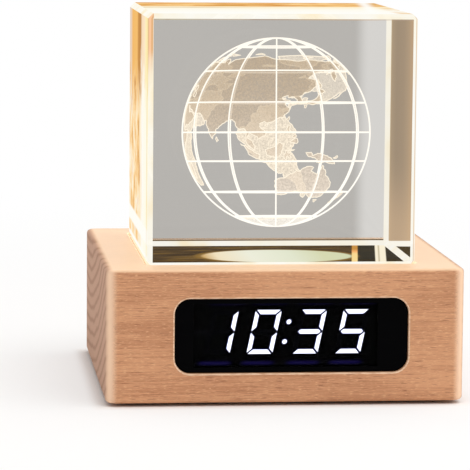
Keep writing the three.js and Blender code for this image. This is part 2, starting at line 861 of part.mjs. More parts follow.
// Battery door: a plate whose rounded front edge turns about two pins, with a finger grip at its free end.
function doorGeometry() {
  const length = bayLength - 2 * fitGap;
  const nose = doorThickness / 2;
  const freeEdge = bayWidth / 2 - fitGap;
  const side = [];
  for (let step = 0; step <= cornerSteps; step += 1) {
    const angle = Math.PI * (0.5 + step / cornerSteps);
    side.push(new THREE.Vector2(hingeY + nose * Math.cos(angle), hingeZ + nose * Math.sin(angle)));
  }
  side.push(new THREE.Vector2(freeEdge, doorBottom));
  side.push(new THREE.Vector2(freeEdge, doorBottom + doorThickness));
  const profile = new THREE.ExtrudeGeometry(new THREE.Shape(side), { depth: length, bevelEnabled: false });
  profile.rotateX(Math.PI / 2).rotateZ(Math.PI / 2).translate(-length / 2, 0, 0);
  const pinLength = length + 2 * hingePinLength;
  const pin = bar(polygon(hingePinRadius, smallSides), -pinLength / 2, pinLength / 2);
  pin.rotateZ(Math.PI / 2).translate(0, hingeY, hingeZ);
  const grip = column(
    roundedRectangle(doorGripLength, doorGripWidth, doorGripDepth),
    doorBottom - overrun,
    doorBottom + doorGripDepth,
    0,
    freeEdge - doorGripWidth,
  );
  return cut(join([profile, pin]), [grip]);
}
place('battery_door', doorGeometry(), blackPlastic, bay);

// Display, placed from the middle height of the window.
const display = groupAt(0, 0, windowCentreZ);
const windowFront = housingFront + windowRecess;
const windowBack = windowFront + windowThickness;
const clockBoardFront = cavityFront + faceGap;
const caseFront = windowBack + 2 * faceGap;
const caseBack = clockBoardFront - faceGap;
const plateFrontShare = 0.5;
const plateFront = caseFront + plateFrontShare * (caseBack - caseFront);

place(
  'display_window',
  bar(
    roundedRectangle(windowWidth - 2 * faceGap, windowHeight - 2 * faceGap, windowCornerRadius),
    windowFront,
    windowBack,
    windowCentreX,
    0,
  ),
  smokedAcrylic,
  display,
);

// Segments of a digit, placed in shares of the half width and half height between their centre lines.
const digitHalfWidth = (digitWidth - segmentThickness) / 2;
const digitHalfHeight = (digitHeight - segmentThickness) / 2;
const segmentShares = [
  { across: 0, up: 1, lies: true },
  { across: 0, up: 0, lies: true },
  { across: 0, up: -1, lies: true },
  { across: -1, up: 0.5, lies: false },
  { across: 1, up: 0.5, lies: false },
  { across: -1, up: -0.5, lies: false },
  { across: 1, up: -0.5, lies: false },
];

function segmentOutline(shares, growth) {
  const half = segmentThickness / 2 + growth;
  const span = shares.lies ? digitHalfWidth : digitHalfHeight / 2;
  const reach = span - segmentSplit / 2 + growth * Math.SQRT2;
  const along = [
    [-reach, 0],
    [half - reach, -half],
    [reach - half, -half],
    [reach, 0],
    [reach - half, half],
    [half - reach, half],
  ];
  return slanted(along.map(([run, rise]) => new THREE.Vector2(
    shares.across * digitHalfWidth + (shares.lies ? run : -rise),
    shares.up * digitHalfHeight + (shares.lies ? rise : run),
  )));
}

const digitSteps = [-1.5, -0.5, 0.5, 1.5];
const digitPlaces = digitSteps.map(
  (step) => digitShift + step * digitPitch + Math.sign(step) * colonSpread / 2,
);
const plateWidth = digitWidth + 2 * plateMargin;
const plateHeight = digitHeight + 2 * plateMargin;
const colonDots = [-colonDotRise, colonDotRise];

function caseGeometry() {
  const tools = [];
  digitPlaces.forEach((x) => {
    tools.push(bar(
      slanted(rectangle(plateWidth + 2 * fitGap, plateHeight + 2 * fitGap)),
      plateFront - fitGap,
      caseBack + overrun,
      x,
      digitRise,
    ));
    segmentShares.forEach((shares) => {
      tools.push(bar(segmentOutline(shares, segmentGap), caseFront - overrun, plateFront, x, digitRise));
    });
  });
  tools.push(bar(
    slanted(rectangle(colonBarWidth + 2 * fitGap, colonBarHeight + 2 * fitGap)),
    plateFront - fitGap,
    caseBack + overrun,
    digitShift,
    digitRise,
  ));
  colonDots.forEach((rise) => {
    tools.push(bar(
      polygon(colonDotRadius + segmentGap, smallSides),
      caseFront - overrun,
      plateFront,
      digitShift + digitSlope * rise,
      digitRise + rise,
    ));
  });
  return cut(bar(rectangle(caseWidth, caseHeight), caseFront, caseBack), tools);
}
place('display_case', caseGeometry(), blackPlastic, display);

function digitGeometry() {
  const backing = bar(slanted(rectangle(plateWidth, plateHeight)), plateFront, caseBack - faceGap);
  const middle = (plateFront + caseBack) / 2;
  const raised = segmentShares.map((shares) => bar(segmentOutline(shares, 0), caseFront, middle));
  return join([backing, ...raised]);
}
digitPlaces.forEach((x, index) => {
  place(`digit_${index + 1}`, digitGeometry(), diffuser, display).position.set(x, 0, digitRise);
});

function colonGeometry() {
  const backing = bar(slanted(rectangle(colonBarWidth, colonBarHeight)), plateFront, caseBack - faceGap);
  const middle = (plateFront + caseBack) / 2;
  const dots = colonDots.map((rise) => bar(
    polygon(colonDotRadius, smallSides),
    caseFront,
    middle,
    digitSlope * rise,
    rise,
  ));
  return join([backing, ...dots]);
}
place('colon', colonGeometry(), diffuser, display).position.set(digitShift, 0, digitRise);

// Clock board flat on the inner front wall, with its chip, quartz and buzzer on the inner side.
const clockBoardBack = clockBoardFront + boardThickness;
const clockBoardTop = ceilingUnder - clockBoardHeadroom - windowCentreZ;

function clockBoardGeometry() {
  const height = clockBoardTop + clockBoardDrop;
  const board = bar(
    chamferedRectangle(clockBoardWidth, height, boardThickness),
    clockBoardFront,
    clockBoardBack,
    0,
    clockBoardTop - height / 2,
  );
  const holes = [-1, 1].map((side) => bar(
    polygon(screwHole, smallSides),
    clockBoardFront - overrun,
    clockBoardBack + overrun,
    side * boardScrewX,
    0,
  ));
  return cut(board, holes);
}
place('clock_board', clockBoardGeometry(), circuitBoard, display);

[-1, 1].forEach((side, index) => {
  const screw = place(`board_screw_${index + 1}`, screwGeometry(boardScrewLength), steel, display);
  screw.rotation.x = Math.PI / 2;
  screw.position.set(side * boardScrewX, clockBoardBack + faceGap, 0);
});

const boardPartFront = clockBoardBack + faceGap;
const boardFreeWidth = 2 * (boardScrewX - screwHeadRadius - buzzerRadius) - quartzWidth - chipWidth;
const buzzerLeft = screwHeadRadius - boardScrewX + boardPartGapShares.buzzer * boardFreeWidth;
const buzzerX = buzzerLeft + buzzerRadius;
const quartzLeft = buzzerX + buzzerRadius + boardPartGapShares.quartz * boardFreeWidth;
const quartzX = quartzLeft + quartzWidth / 2;
const chipLeft = quartzLeft + quartzWidth + boardPartGapShares.chip * boardFreeWidth;
const chipX = chipLeft + chipWidth / 2;
const chipOutline = chamferedRectangle(chipWidth, chipWidth, chipThickness / 2);
place(
  'clock_chip',
  bar(chipOutline, boardPartFront, boardPartFront + chipThickness, chipX),
  blackPlastic,
  display,
);
place(
  'timing_quartz',
  bar(
    roundedRectangle(quartzWidth, quartzHeight, quartzHeight / 2),
    boardPartFront,
    boardPartFront + quartzThickness,
    quartzX,
  ),
  steel,
  display,
);

function buzzerGeometry() {
  const port = buzzerHeight - buzzerPortDepth;
  return turned([
    [0, 0],
    [buzzerRadius, 0],
    [buzzerRadius, buzzerHeight],
    [buzzerPortRadius, buzzerHeight],
    [buzzerPortRadius, port],
    [0, port],
  ], cellSides);
}
place('buzzer', buzzerGeometry(), blackPlastic, display).position.set(buzzerX, boardPartFront, 0);

// Rear panel with its key board, placed from the panel's middle height.
const rear = groupAt(0, 0, panelCentreZ);
const panelBackFace = housingBack - panelRecess;
const panelInnerFace = panelBackFace - panelThickness;
const flangeOuter = panelInnerFace - fitGap;
const flangeInner = flangeOuter - buttonFlangeThickness;
const stemEnd = flangeInner - buttonStemLength;
const plungerTop = stemEnd - buttonTravel - pressGap;
const keyBoardOuter = plungerTop - switchPlungerHeight - switchBodyHeight - faceGap;
const keyBoardInner = keyBoardOuter - boardThickness;
const buttonPlaces = buttonShares.map((share) => share * rearOpeningWidth);
const buttonNames = ['set', 'up', 'down', 'light'];
const bossX = rearOpeningWidth / 2 - bossInset;
const bossPlaces = [-bossX, bossX];
const socketX = socketShare * rearOpeningWidth;
const socketRadius = socketHeight / 2;

function panelGeometry() {
  const outline = roundedRectangle(panelWidth, panelHeight, panelCornerRadius);
  const plate = bar(outline, panelInnerFace, panelBackFace);
  const bosses = bossPlaces.map((x) => bar(
    polygon(bossRadius, cellSides),
    keyBoardOuter + faceGap,
    panelInnerFace + panelThickness / 2,
    x,
  ));
  const tools = bossPlaces.map((x) => bar(
    polygon(screwHole, smallSides),
    keyBoardOuter - overrun,
    keyBoardOuter + bossHoleDepth,
    x,
  ));
  buttonPlaces.forEach((x) => {
    const hole = polygon(buttonRadius + fitGap, cellSides);
    tools.push(bar(hole, panelInnerFace - overrun, panelBackFace + overrun, x));
  });
  tools.push(bar(
    roundedRectangle(socketWidth + 2 * fitGap, socketHeight + 2 * fitGap, socketRadius + fitGap),
    panelInnerFace - overrun,
    panelBackFace + overrun,
    socketX,
  ));
  return cut(join([plate, ...bosses]), tools);
}
place('rear_panel', panelGeometry(), blackPlastic, rear);

function keyBoardGeometry() {
  const board = bar(
    rectangle(rearOpeningWidth - 2 * fitGap, rearOpeningHeight - 2 * fitGap),
    keyBoardInner,
    keyBoardOuter,
  );
  const holes = bossPlaces.map((x) => bar(
    polygon(screwHole, smallSides),
    keyBoardInner - overrun,
    keyBoardOuter + overrun,
    x,
  ));
  return cut(board, holes);
}
place('key_board', keyBoardGeometry(), circuitBoard, rear);

bossPlaces.forEach((x, index) => {
  const screw = place(`key_board_screw_${index + 1}`, screwGeometry(bossScrewLength), steel, rear);
  screw.rotation.x = -Math.PI / 2;
  screw.position.set(x, keyBoardInner - faceGap, 0);
});

function switchGeometry() {
  const top = switchBodyHeight + switchPlungerHeight;
  return join([
    bar(rectangle(switchWidth, switchWidth), 0, switchBodyHeight),
    bar(polygon(switchPlungerRadius, smallSides), switchBodyHeight / 2, top),
  ]);
}

// A button along Y: its flange lies behind the panel at zero, its stem points inwards and its cap outwards.
function buttonGeometry() {
  const cap = panelBackFace + buttonProud - flangeInner;
  return turned([
    [0, -buttonStemLength],
    [buttonStemRadius, -buttonStemLength],
    [buttonStemRadius, 0],
    [buttonRadius + buttonFlange, 0],
    [buttonRadius + buttonFlange, buttonFlangeThickness],
    [buttonRadius, buttonFlangeThickness],
    [buttonRadius, cap - buttonEdge],
    [buttonRadius - buttonEdge, cap],
    [0, cap],
  ], cellSides);
}

buttonPlaces.forEach((x, index) => {
  const key = place(`key_switch_${index + 1}`, switchGeometry(), blackPlastic, rear);
  key.position.set(x, keyBoardOuter + faceGap, 0);
  const button = place(`button_${buttonNames[index]}`, buttonGeometry(), whitePlastic, rear);
  button.position.set(x, flangeInner, 0);
});

// Power socket: an oval steel sleeve round its tongue, both standing on the key board.
function socketGeometry() {
  const start = keyBoardOuter + faceGap;
  const end = panelBackFace - socketRecess;
  const innerWidth = socketWidth - 2 * socketWall;
  const innerHeight = socketHeight - 2 * socketWall;
  const sleeve = bar(roundedRectangle(socketWidth, socketHeight, socketRadius), start, end);
  const mouthOutline = roundedRectangle(innerWidth, innerHeight, socketRadius - socketWall);
  return cut(sleeve, [bar(mouthOutline, start - overrun, end + overrun)]);
}
place('usb_socket', socketGeometry(), steel, rear).position.x = socketX;
const tongueEnd = panelBackFace - socketRecess - tongueSetback;
place(
  'usb_tongue',
  bar(rectangle(tongueWidth, tongueThickness), keyBoardOuter + faceGap, tongueEnd),
  blackPlastic,
  rear,
).position.x = socketX;

// Leads inside the housing, from board to board. Each route is a list of shares, chosen by hand: of the
// way from its start to its end for a lead, and of half the cavity's width and of the way for the ribbon.
function leadAlong(points, outline, steps) {
  const route = new THREE.CatmullRomCurve3(points);
  return new THREE.ExtrudeGeometry(new THREE.Shape(outline), { steps, extrudePath: route });
}

function pointsBetween(start, end, shares) {
  return shares.map(([acrossShare, alongShare, downShare]) => new THREE.Vector3(
    start.x + acrossShare * (end.x - start.x),
    start.y + alongShare * (end.y - start.y),
    start.z + downShare * (end.z - start.z),
  ));
}

const lightLeadShares = [
  [0, 0, 0],
  [0, 0.11, 0],
  [0.33, 0.29, 0.41],
  [0.67, 0.49, 0.8],
  [1, 0.7, 1],
  [1, 0.86, 1],
  [1, 1, 1],
];
const batteryLeadShares = [
  [0, 0, 0],
  [0, 0.125, 0],
  [0.25, 0.35, 0.31],
  [0.75, 0.62, 0.85],
  [1, 0.85, 1],
  [1, 1, 1],
];
const keyRibbonShares = [
  [0.512, 0],
  [0.512, 0.029],
  [0.605, 0.079],
  [0.779, 0.134],
  [0.849, 0.255],
  [0.849, 0.5],
  [0.849, 0.743],
  [0.802, 0.865],
  [0.686, 0.932],
  [0.628, 0.974],
  [0.628, 1],
];
const lightLeadEndShare = 0.044;
const batteryLeadStartShare = 0.58;
const batteryLeadEndShare = 0.294;
const batteryLeadHeightShare = 0.6;

const leadEndY = clockBoardBack + fitGap;
const leadEndZ = windowCentreZ - leadDrop;
const lightLeadPoints = pointsBetween(
  new THREE.Vector3(0, -lightBoardWidth / 2 - fitGap, (lightBoardBottom + lightBoardTop) / 2),
  new THREE.Vector3(lightLeadEndShare * clockBoardWidth, leadEndY, leadEndZ),
  lightLeadShares,
);
const batteryLeadPoints = pointsBetween(
  new THREE.Vector3(
    batteryLeadStartShare * (bayLength / 2 + trayWall),
    bayCentreY - bayWidth / 2 - trayWall - fitGap,
    coverTop + batteryLeadHeightShare * (trayInnerTop + trayWall - coverTop),
  ),
  new THREE.Vector3(batteryLeadEndShare * clockBoardWidth, leadEndY, leadEndZ),
  batteryLeadShares,
);
const ribbonStartY = keyBoardInner - fitGap;
const keyRibbonPoints = keyRibbonShares.map(([acrossShare, alongShare]) => new THREE.Vector3(
  acrossShare * cavityWidth / 2,
  ribbonStartY + alongShare * (leadEndY - ribbonStartY),
  panelCentreZ - ribbonDrop,
));
const leadOutline = polygon(leadRadius, leadSides);
const ribbonOutline = rectangle(ribbonWidth, ribbonThickness);
place('light_lead', leadAlong(lightLeadPoints, leadOutline, leadSteps), leadSheath);
place('battery_lead', leadAlong(batteryLeadPoints, leadOutline, leadSteps), leadSheath);
place('key_ribbon', leadAlong(keyRibbonPoints, ribbonOutline, ribbonSteps), ribbonSheath);

export default clock;
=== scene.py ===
"""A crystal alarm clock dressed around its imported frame.

A beech base holds a lit clock display behind a smoked window. A clear glass block stands on it, with a globe
engraved inside and a light below. Sizes of pieces are in metres, taken from the frame or from a named value.
Materials count in millimetres.
"""

from __future__ import annotations

import logging
import math
import random
from collections.abc import Callable
from dataclasses import dataclass
from enum import Enum
from itertools import product

import bmesh
import bpy
from mathutils import Matrix, Vector
from mathutils.geometry import delaunay_2d_cdt

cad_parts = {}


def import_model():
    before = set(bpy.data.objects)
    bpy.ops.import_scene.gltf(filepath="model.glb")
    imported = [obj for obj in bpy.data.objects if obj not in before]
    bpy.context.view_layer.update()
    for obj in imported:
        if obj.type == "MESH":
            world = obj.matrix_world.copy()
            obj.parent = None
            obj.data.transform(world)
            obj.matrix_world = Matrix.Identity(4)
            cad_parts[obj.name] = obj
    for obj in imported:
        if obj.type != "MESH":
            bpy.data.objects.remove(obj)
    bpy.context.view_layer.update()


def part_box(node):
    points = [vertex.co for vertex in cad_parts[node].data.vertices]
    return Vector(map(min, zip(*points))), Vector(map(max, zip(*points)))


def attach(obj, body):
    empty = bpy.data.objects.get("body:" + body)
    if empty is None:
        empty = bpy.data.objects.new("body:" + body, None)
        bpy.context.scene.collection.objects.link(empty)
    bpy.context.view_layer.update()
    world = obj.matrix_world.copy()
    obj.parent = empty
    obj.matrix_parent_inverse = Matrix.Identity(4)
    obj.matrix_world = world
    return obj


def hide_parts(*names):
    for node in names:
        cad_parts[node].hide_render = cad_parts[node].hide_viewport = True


LOG = logging.getLogger("crystal_clock")
MM = 0.001
FACE_GAP = 0.05 * MM
FIT_GAP = 0.3 * MM
OVERRUN = 1 * MM
WELD = 0.0005 * MM
TURN = 2 * math.pi
QUARTER = math.pi / 2

Socket = bpy.types.NodeSocket
Material = bpy.types.Material
Piece = bpy.types.Object
Pair = tuple[float, float]
Triple = tuple[float, float, float]
Rgb = tuple[int, int, int]
Stops = tuple[tuple[float, Rgb], ...]
Outline = list[Pair]
Section = tuple[Outline, float]
Shape = Callable[[float], Outline]


class Value:
    """A number in a node tree. Python's operators on it add Math nodes."""

    def __init__(self, graph: Graph, socket: Socket) -> None:
        """Keeps the socket and the graph that new nodes go into."""
        self.graph = graph
        self.socket = socket

    def __add__(self, other: Value | float) -> Value:
        """The sum."""
        return self.graph.math("ADD", self, other)

    __radd__ = __add__

    def __sub__(self, other: Value | float) -> Value:
        """The difference."""
        return self.graph.math("SUBTRACT", self, other)

    def __rsub__(self, other: float) -> Value:
        """The difference from a plain number."""
        return self.graph.math("SUBTRACT", other, self)

    def __mul__(self, other: Value | float) -> Value:
        """The product."""
        return self.graph.math("MULTIPLY", self, other)

    __rmul__ = __mul__

    def __truediv__(self, other: Value | float) -> Value:
        """The quotient."""
        return self.graph.math("DIVIDE", self, other)

    def __pow__(self, other: float) -> Value:
        """The power."""
        return self.graph.math("POWER", self, other)

    def __abs__(self) -> Value:
        """The size without its sign."""
        return self.graph.math("ABSOLUTE", self)

    def sine(self) -> Value:
        """The sine of an angle in radians."""
        return self.graph.math("SINE", self)

    def root(self) -> Value:
        """The square root."""
        return self.graph.math("SQRT", self)

    def most(self, other: Value | float) -> Value:
        """The larger of the two."""
        return self.graph.math("MAXIMUM", self, other)

    def step(self, low: float, high: float) -> Value:
        """Rises smoothly from 0 at low to 1 at high, or falls where low is the larger."""
        inputs = {"Value": self, "From Min": low, "From Max": high}
        return self.graph.number("ShaderNodeMapRange", {"interpolation_type": "SMOOTHSTEP"}, inputs)

    def bell(self, middle: float, reach: float) -> Value:
        """Is 1 at the middle and fades to 0 within the reach."""
        return abs(self - middle).step(reach, 0.0)


def distance(across: Value, along: Value) -> Value:
    """How far a place is from where both are 0."""
    return (across * across + along * along).root()


class Graph:
    """The nodes and links of one tree."""

    def __init__(self, tree: bpy.types.NodeTree) -> None:
        """Starts from an empty tree."""
        self.tree = tree
        tree.nodes.clear()

    def node(self, kind: str, settings: dict | None = None, inputs: dict | None = None) -> bpy.types.Node:
        """Adds one node.

        Args:
            kind: the node's type.
            settings: what is set first, such as an operation, or a ramp's stops.
            inputs: a value, a link or a Value for each socket, by its name or its number.

        Returns:
            The new node.
        """
        made = self.tree.nodes.new(kind)
        for name, value in (settings or {}).items():
            if name == "stops":
                self._set_stops(made.color_ramp, value)
            else:
                setattr(made, name, value)
        for name, value in (inputs or {}).items():
            self.feed(made.inputs[name], value)
        return made

    def feed(self, socket: Socket, value: object) -> None:
        """Links a socket, or sets its own value.

        Args:
            socket: the input.
            value: a Value, a link or what the socket holds.
        """
        source = value.socket if isinstance(value, Value) else value
        if isinstance(source, Socket):
            self.tree.links.new(source, socket)
        else:
            socket.default_value = source

    def number(self, kind: str, settings: dict | None = None, inputs: dict | None = None) -> Value:
        """The first output of a new node, as a number."""
        return Value(self, self.node(kind, settings, inputs).outputs[0])

    def math(self, operation: str, *numbers: Value | float) -> Value:
        """A Math node on one or two numbers."""
        return self.number("ShaderNodeMath", {"operation": operation}, dict(enumerate(numbers)))

    @staticmethod
    def _set_stops(ramp: bpy.types.ColorRamp, stops: Stops) -> None:
        """Gives a ramp its stops.

        Args:
            ramp: the ramp.
            stops: a place from 0 to 1 and a screen colour each.
        """
        while len(ramp.elements) > 1:
            ramp.elements.remove(ramp.elements[-1])
        for index, (place, rgb) in enumerate(stops):
            stop = ramp.elements[0] if index == 0 else ramp.elements.new(place)
            stop.position = place
            stop.color = colour(rgb)


def colour(shade: object) -> object:
    """The linear colour that a socket takes.

    Args:
        shade: a screen colour of 0 to 255 a channel, or what needs no change.

    Returns:
        The linear colour of a screen colour, and anything else as it is.
    """
    if not isinstance(shade, tuple) or len(shade) != 3:
        return shade
    shares = [channel / 255 for channel in shade]
    linear = [share / 12.92 if share <= 0.04045 else ((share + 0.055) / 1.055) ** 2.4 for share in shares]
    return (*linear, 1.0)


class Shader(Graph):
    """One material's nodes, with the object's own coordinates in millimetres."""

    def __init__(self, name: str) -> None:
        """Makes the material and its coordinates.

        Args:
            name: the material's name.
        """
        self.material = bpy.data.materials.new(name)
        self.material.use_nodes = True
        super().__init__(self.material.node_tree)
        place = self.node("ShaderNodeTexCoord").outputs["Object"]
        inputs = {"Vector": place, "Scale": 1 / MM}
        self.place = self.node("ShaderNodeVectorMath", {"operation": "SCALE"}, inputs).outputs["Vector"]

    def axes(self) -> tuple[Value, Value, Value]:
        """The three coordinates in millimetres."""
        parts = self.node("ShaderNodeSeparateXYZ", inputs={"Vector": self.place}).outputs
        return Value(self, parts[0]), Value(self, parts[1]), Value(self, parts[2])

    def noise(self, per_mm: float | Triple, detail: float = 2, roughness: float = 0.5) -> Value:
        """Soft noise.

        Args:
            per_mm: how many of its waves go into a millimetre, in all or along each axis.
            detail: how many finer layers it has.
            roughness: how strong the finer layers are.

        Returns:
            A number that stays mostly between 0.3 and 0.7.
        """
        scale = per_mm if isinstance(per_mm, tuple) else (per_mm,) * 3
        where = self.node("ShaderNodeVectorMath", {"operation": "MULTIPLY"}, {0: self.place, 1: scale})
        inputs = {"Vector": where.outputs[0], "Scale": 1.0, "Detail": detail, "Roughness": roughness}
        return self.number("ShaderNodeTexNoise", inputs=inputs)

    def ramp(self, value: Value, stops: Stops) -> Socket:
        """A colour picked along a row of stops."""
        return self.node("ShaderNodeValToRGB", {"stops": stops}, {"Fac": value}).outputs["Color"]

    def mix(self, share: Value | float, first: object, second: object, how: str = "MIX") -> Socket:
        """Two colours mixed.

        Args:
            share: how much of the second goes in.
            first: a screen colour, a linear colour or a link.
            second: a screen colour, a linear colour or a link.
            how: the blending mode.

        Returns:
            The mixed colour.
        """
        inputs = {0: share, 6: colour(first), 7: colour(second)}
        return self.node("ShaderNodeMix", {"data_type": "RGBA", "blend_type": how}, inputs).outputs[2]

    def bump(self, height: Value, depth: float, strength: float) -> Socket:
        """A normal pushed about by a height of 0 to 1, which is so many millimetres deep."""
        inputs = {"Height": height, "Distance": depth * MM, "Strength": strength}
        return self.node("ShaderNodeBump", inputs=inputs).outputs["Normal"]

    def facing(self) -> Value:
        """How far the surface turns from the eye: 0 square on, 1 along it, from either side."""
        made = self.node("ShaderNodeLayerWeight", inputs={"Blend": 0.5})
        return Value(self, made.outputs["Facing"])

    def surface(self, inputs: dict) -> Socket:
        """A Principled surface with these inputs."""
        return self.node("ShaderNodeBsdfPrincipled", inputs=inputs).outputs[0]

    def glow(
        self, light: Socket, strength: float, roughness: float = 1.0, cover: Value | float = 1.0
    ) -> Socket:
        """A black surface without gloss that gives light of its own.

        Args:
            light: the colour of the light.
            strength: how strong it is.
            roughness: the surface's roughness.
            cover: how much of what is behind it hides.

        Returns:
            The surface.
        """
        return self.surface({
            "Base Color": (0.0, 0.0, 0.0, 1.0),
            "Roughness": roughness,
            "Specular IOR Level": 0.0,
            "Emission Color": light,
            "Emission Strength": strength,
            "Alpha": cover,
        })

    def blend(self, share: Value, first: Socket, second: Socket) -> Socket:
        """Two surfaces mixed: share says how much of the second shows."""
        return self.node("ShaderNodeMixShader", inputs={0: share, 1: first, 2: second}).outputs[0]

    def finish(self, surface: Socket) -> Material:
        """Ends the tree and gives the material."""
        self.node("ShaderNodeOutputMaterial", inputs={"Surface": surface})
        return self.material


class Finish:
    """The look of one material. In its numbers, a pair holds the two places between which a mask rises."""

    name: str

    def paint(self, shop: Shader) -> Socket:
        """Makes the surface.

        Args:
            shop: the material's nodes, still empty.

        Returns:
            The surface.
        """
        raise NotImplementedError

    def build(self) -> Material:
        """Makes the material."""
        shop = Shader(self.name)
        return shop.finish(self.paint(shop))


@dataclass(frozen=True)
class Beech(Finish):
    """Oiled beech whose fibres run along X, with growth rings about a heart outside the block."""

    name: str = "beech"
    pale: Rgb = (214, 155, 112)
    deep: Rgb = (188, 129, 89)
    fleck: Rgb = (146, 88, 54)
    light_fleck: Rgb = (238, 190, 144)
    end_pale: Rgb = (206, 164, 138)
    end_deep: Rgb = (176, 132, 106)
    # Painted glare on the top face.
    top_glare: Rgb = (252, 214, 174)
    # Painted highlight down the upright corners.
    corner_highlight: Rgb = (255, 216, 182)
    ring_pitch: float = 4.2
    ring_wander: float = 5.0
    late_wood: float = 2.5
    heart_y: float = 46.0
    heart_z: float = 205.0
    end: Pair = (50.6, 52.6)
    corner: Pair = (49.3, 52.3)
    top_edge: Pair = (39.5, 40.3)
    roughness: float = 0.4
    end_roughness: float = 0.9

    def paint(self, shop: Shader) -> Socket:
        """Streaks and short dark flecks along the fibres, rings on the end grain, a painted glare on the top
        and painted highlights down the upright corners.
        """
        x, y, z = shop.axes()
        wander = shop.noise((0.01, 0.035, 0.035))
        radius = distance(y - self.heart_y, z - self.heart_z) + self.ring_wander * wander
        ring = 0.5 + 0.5 * (radius * (TURN / self.ring_pitch)).sine()
        late = ring ** self.late_wood
        broad = shop.noise((0.02, 0.1, 0.1))
        streak = shop.noise((0.07, 2.8, 2.8), 4, 0.6)
        fibre = shop.noise((0.4, 6.0, 6.0))
        long_dash = shop.noise((0.24, 4.6, 4.6), 1).step(0.65, 0.71)
        short = shop.noise((0.6, 6.0, 6.0), 1)
        dash = long_dash.most(0.6 * short.step(0.66, 0.74))
        end = abs(x).step(*self.end)
        tone = (0.55 * streak + 0.25 * fibre + 0.5 * broad + 0.03 * late).step(0.54, 0.76)
        side = shop.mix(tone, self.deep, self.pale)
        side = shop.mix(0.6 * short.step(0.4, 0.32), side, self.light_fleck)
        side = shop.mix(0.85 * dash, side, self.fleck)
        # Painted glare: the top face is paler, as though lit from above.
        side = shop.mix(0.85 * z.step(*self.top_edge), side, self.top_glare)
        pores = shop.noise((0.5, 3.0, 3.0), 3)
        ends = shop.mix((0.5 * late + 0.7 * pores).step(0.2, 1.0), self.end_pale, self.end_deep)
        # Painted highlight down the upright corners.
        edge = abs(x).step(*self.corner) * abs(y).step(*self.corner)
        rough = self.roughness + (self.end_roughness - self.roughness) * end
        return shop.surface({
            "Base Color": shop.mix(edge, shop.mix(end, side, ends), self.corner_highlight),
            "Roughness": rough + 0.2 * (fibre - 0.5),
            "Normal": shop.bump(0.5 * fibre + 0.5 * streak - 0.6 * dash, 0.06, 0.6),
            "Specular IOR Level": 0.5,
        })


@dataclass(frozen=True)
class CutRim(Finish):
    """The eased edge of an opening in the wood, sanded paler than the face."""

    name: str = "beech_rim"
    pale: Rgb = (240, 205, 172)
    deep: Rgb = (206, 158, 122)
    glow: float = 0.0

    def paint(self, shop: Shader) -> Socket:
        """Fine streaks along the fibres, and painted light from beside where there is a glow."""
        tone = shop.noise((0.4, 2.0, 2.0), 3).step(0.3, 0.6)
        shade = shop.mix(tone, self.deep, self.pale)
        return shop.surface({
            "Base Color": shade, "Roughness": 0.55, "Emission Color": shade, "Emission Strength": self.glow,
        })


@dataclass(frozen=True)
class MouldedPlastic(Finish):
    """Moulded plastic with a fine spark-eroded grain."""

    name: str
    shade: Rgb
    dark: Rgb
    roughness: float = 0.5
    grain_per_mm: float = 3.0
    patch_per_mm: float = 0.08

    def paint(self, shop: Shader) -> Socket:
        """Grain in the colour, the roughness and the relief."""
        grain = shop.noise(self.grain_per_mm, 3, 0.6)
        tone = (0.6 * grain + 0.4 * shop.noise(self.patch_per_mm)).step(0.35, 0.65)
        return shop.surface({
            "Base Color": shop.mix(tone, self.dark, self.shade),
            "Roughness": self.roughness + 0.2 * (grain - 0.5),
            "Normal": shop.bump(grain, 0.04, 0.35),
        })


@dataclass(frozen=True)
class Metal(Finish):
    """Bare or plated metal with fine drawing marks."""

    name: str
    shade: Rgb
    dark: Rgb
    marks_per_mm: Triple
    roughness: float = 0.3

    def paint(self, shop: Shader) -> Socket:
        """Marks in the colour and the roughness."""
        marks = shop.noise(self.marks_per_mm, 3, 0.6)
        return shop.surface({
            "Base Color": shop.mix(marks.step(0.3, 0.65), self.dark, self.shade),
            "Metallic": 1.0,
            "Roughness": self.roughness + 0.3 * (marks - 0.5),
            "Normal": shop.bump(marks, 0.02, 0.3),
        })


@dataclass(frozen=True)
class Felt(Finish):
    """Pressed felt with short fibres."""

    name: str = "felt"
    shade: Rgb = (252, 232, 200)
    dark: Rgb = (236, 206, 168)
    fibres_per_mm: float = 1.6

    def paint(self, shop: Shader) -> Socket:
        """Fibres in the colour and the relief."""
        fibres = shop.noise(self.fibres_per_mm, 5, 0.75)
        return shop.surface({
            "Base Color": shop.mix(fibres.step(0.35, 0.65), self.dark, self.shade),
            "Roughness": 0.95,
            "Sheen Weight": 0.4,
            "Normal": shop.bump(fibres, 0.25, 0.8),
        })


@dataclass(frozen=True)
class Rubber(Finish):
    """Matt rubber, dusty on top of its grain."""

    name: str = "foot_rubber"
    shade: Rgb = (58, 57, 56)
    dark: Rgb = (34, 33, 33)
    dust_per_mm: float = 0.8
    grain_per_mm: float = 5.0

    def paint(self, shop: Shader) -> Socket:
        """Dust and grain."""
        dust = shop.noise(self.dust_per_mm, 4, 0.7).step(0.4, 0.7)
        grain = shop.noise(self.grain_per_mm)
        return shop.surface({
            "Base Color": shop.mix(dust, self.dark, self.shade),
            "Roughness": 0.8 + 0.2 * grain,
            "Normal": shop.bump(grain, 0.05, 0.5),
        })


@dataclass(frozen=True)
class Board(Finish):
    """Green circuit board with darker channels between its tracks."""

    name: str = "circuit_board"
    mask: Rgb = (24, 98, 58)
    track: Rgb = (52, 136, 84)
    pitch: float = 1.6
    patch_per_mm: float = 0.12

    def paint(self, shop: Shader) -> Socket:
        """Straight tracks in squares that turn from place to place."""
        x, y, z = shop.axes()
        patch = shop.noise(self.patch_per_mm, 0).step(0.49, 0.51)
        wave = TURN / self.pitch
        lying = ((z + y) * wave).sine()
        standing = (x * wave).sine()
        lines = (patch * lying + (1.0 - patch) * standing).step(0.2, 0.5)
        return shop.surface({
            "Base Color": shop.mix(lines, self.mask, self.track),
            "Roughness": 0.35 + 0.1 * lines,
            "Normal": shop.bump(lines, 0.03, 0.6),
        })


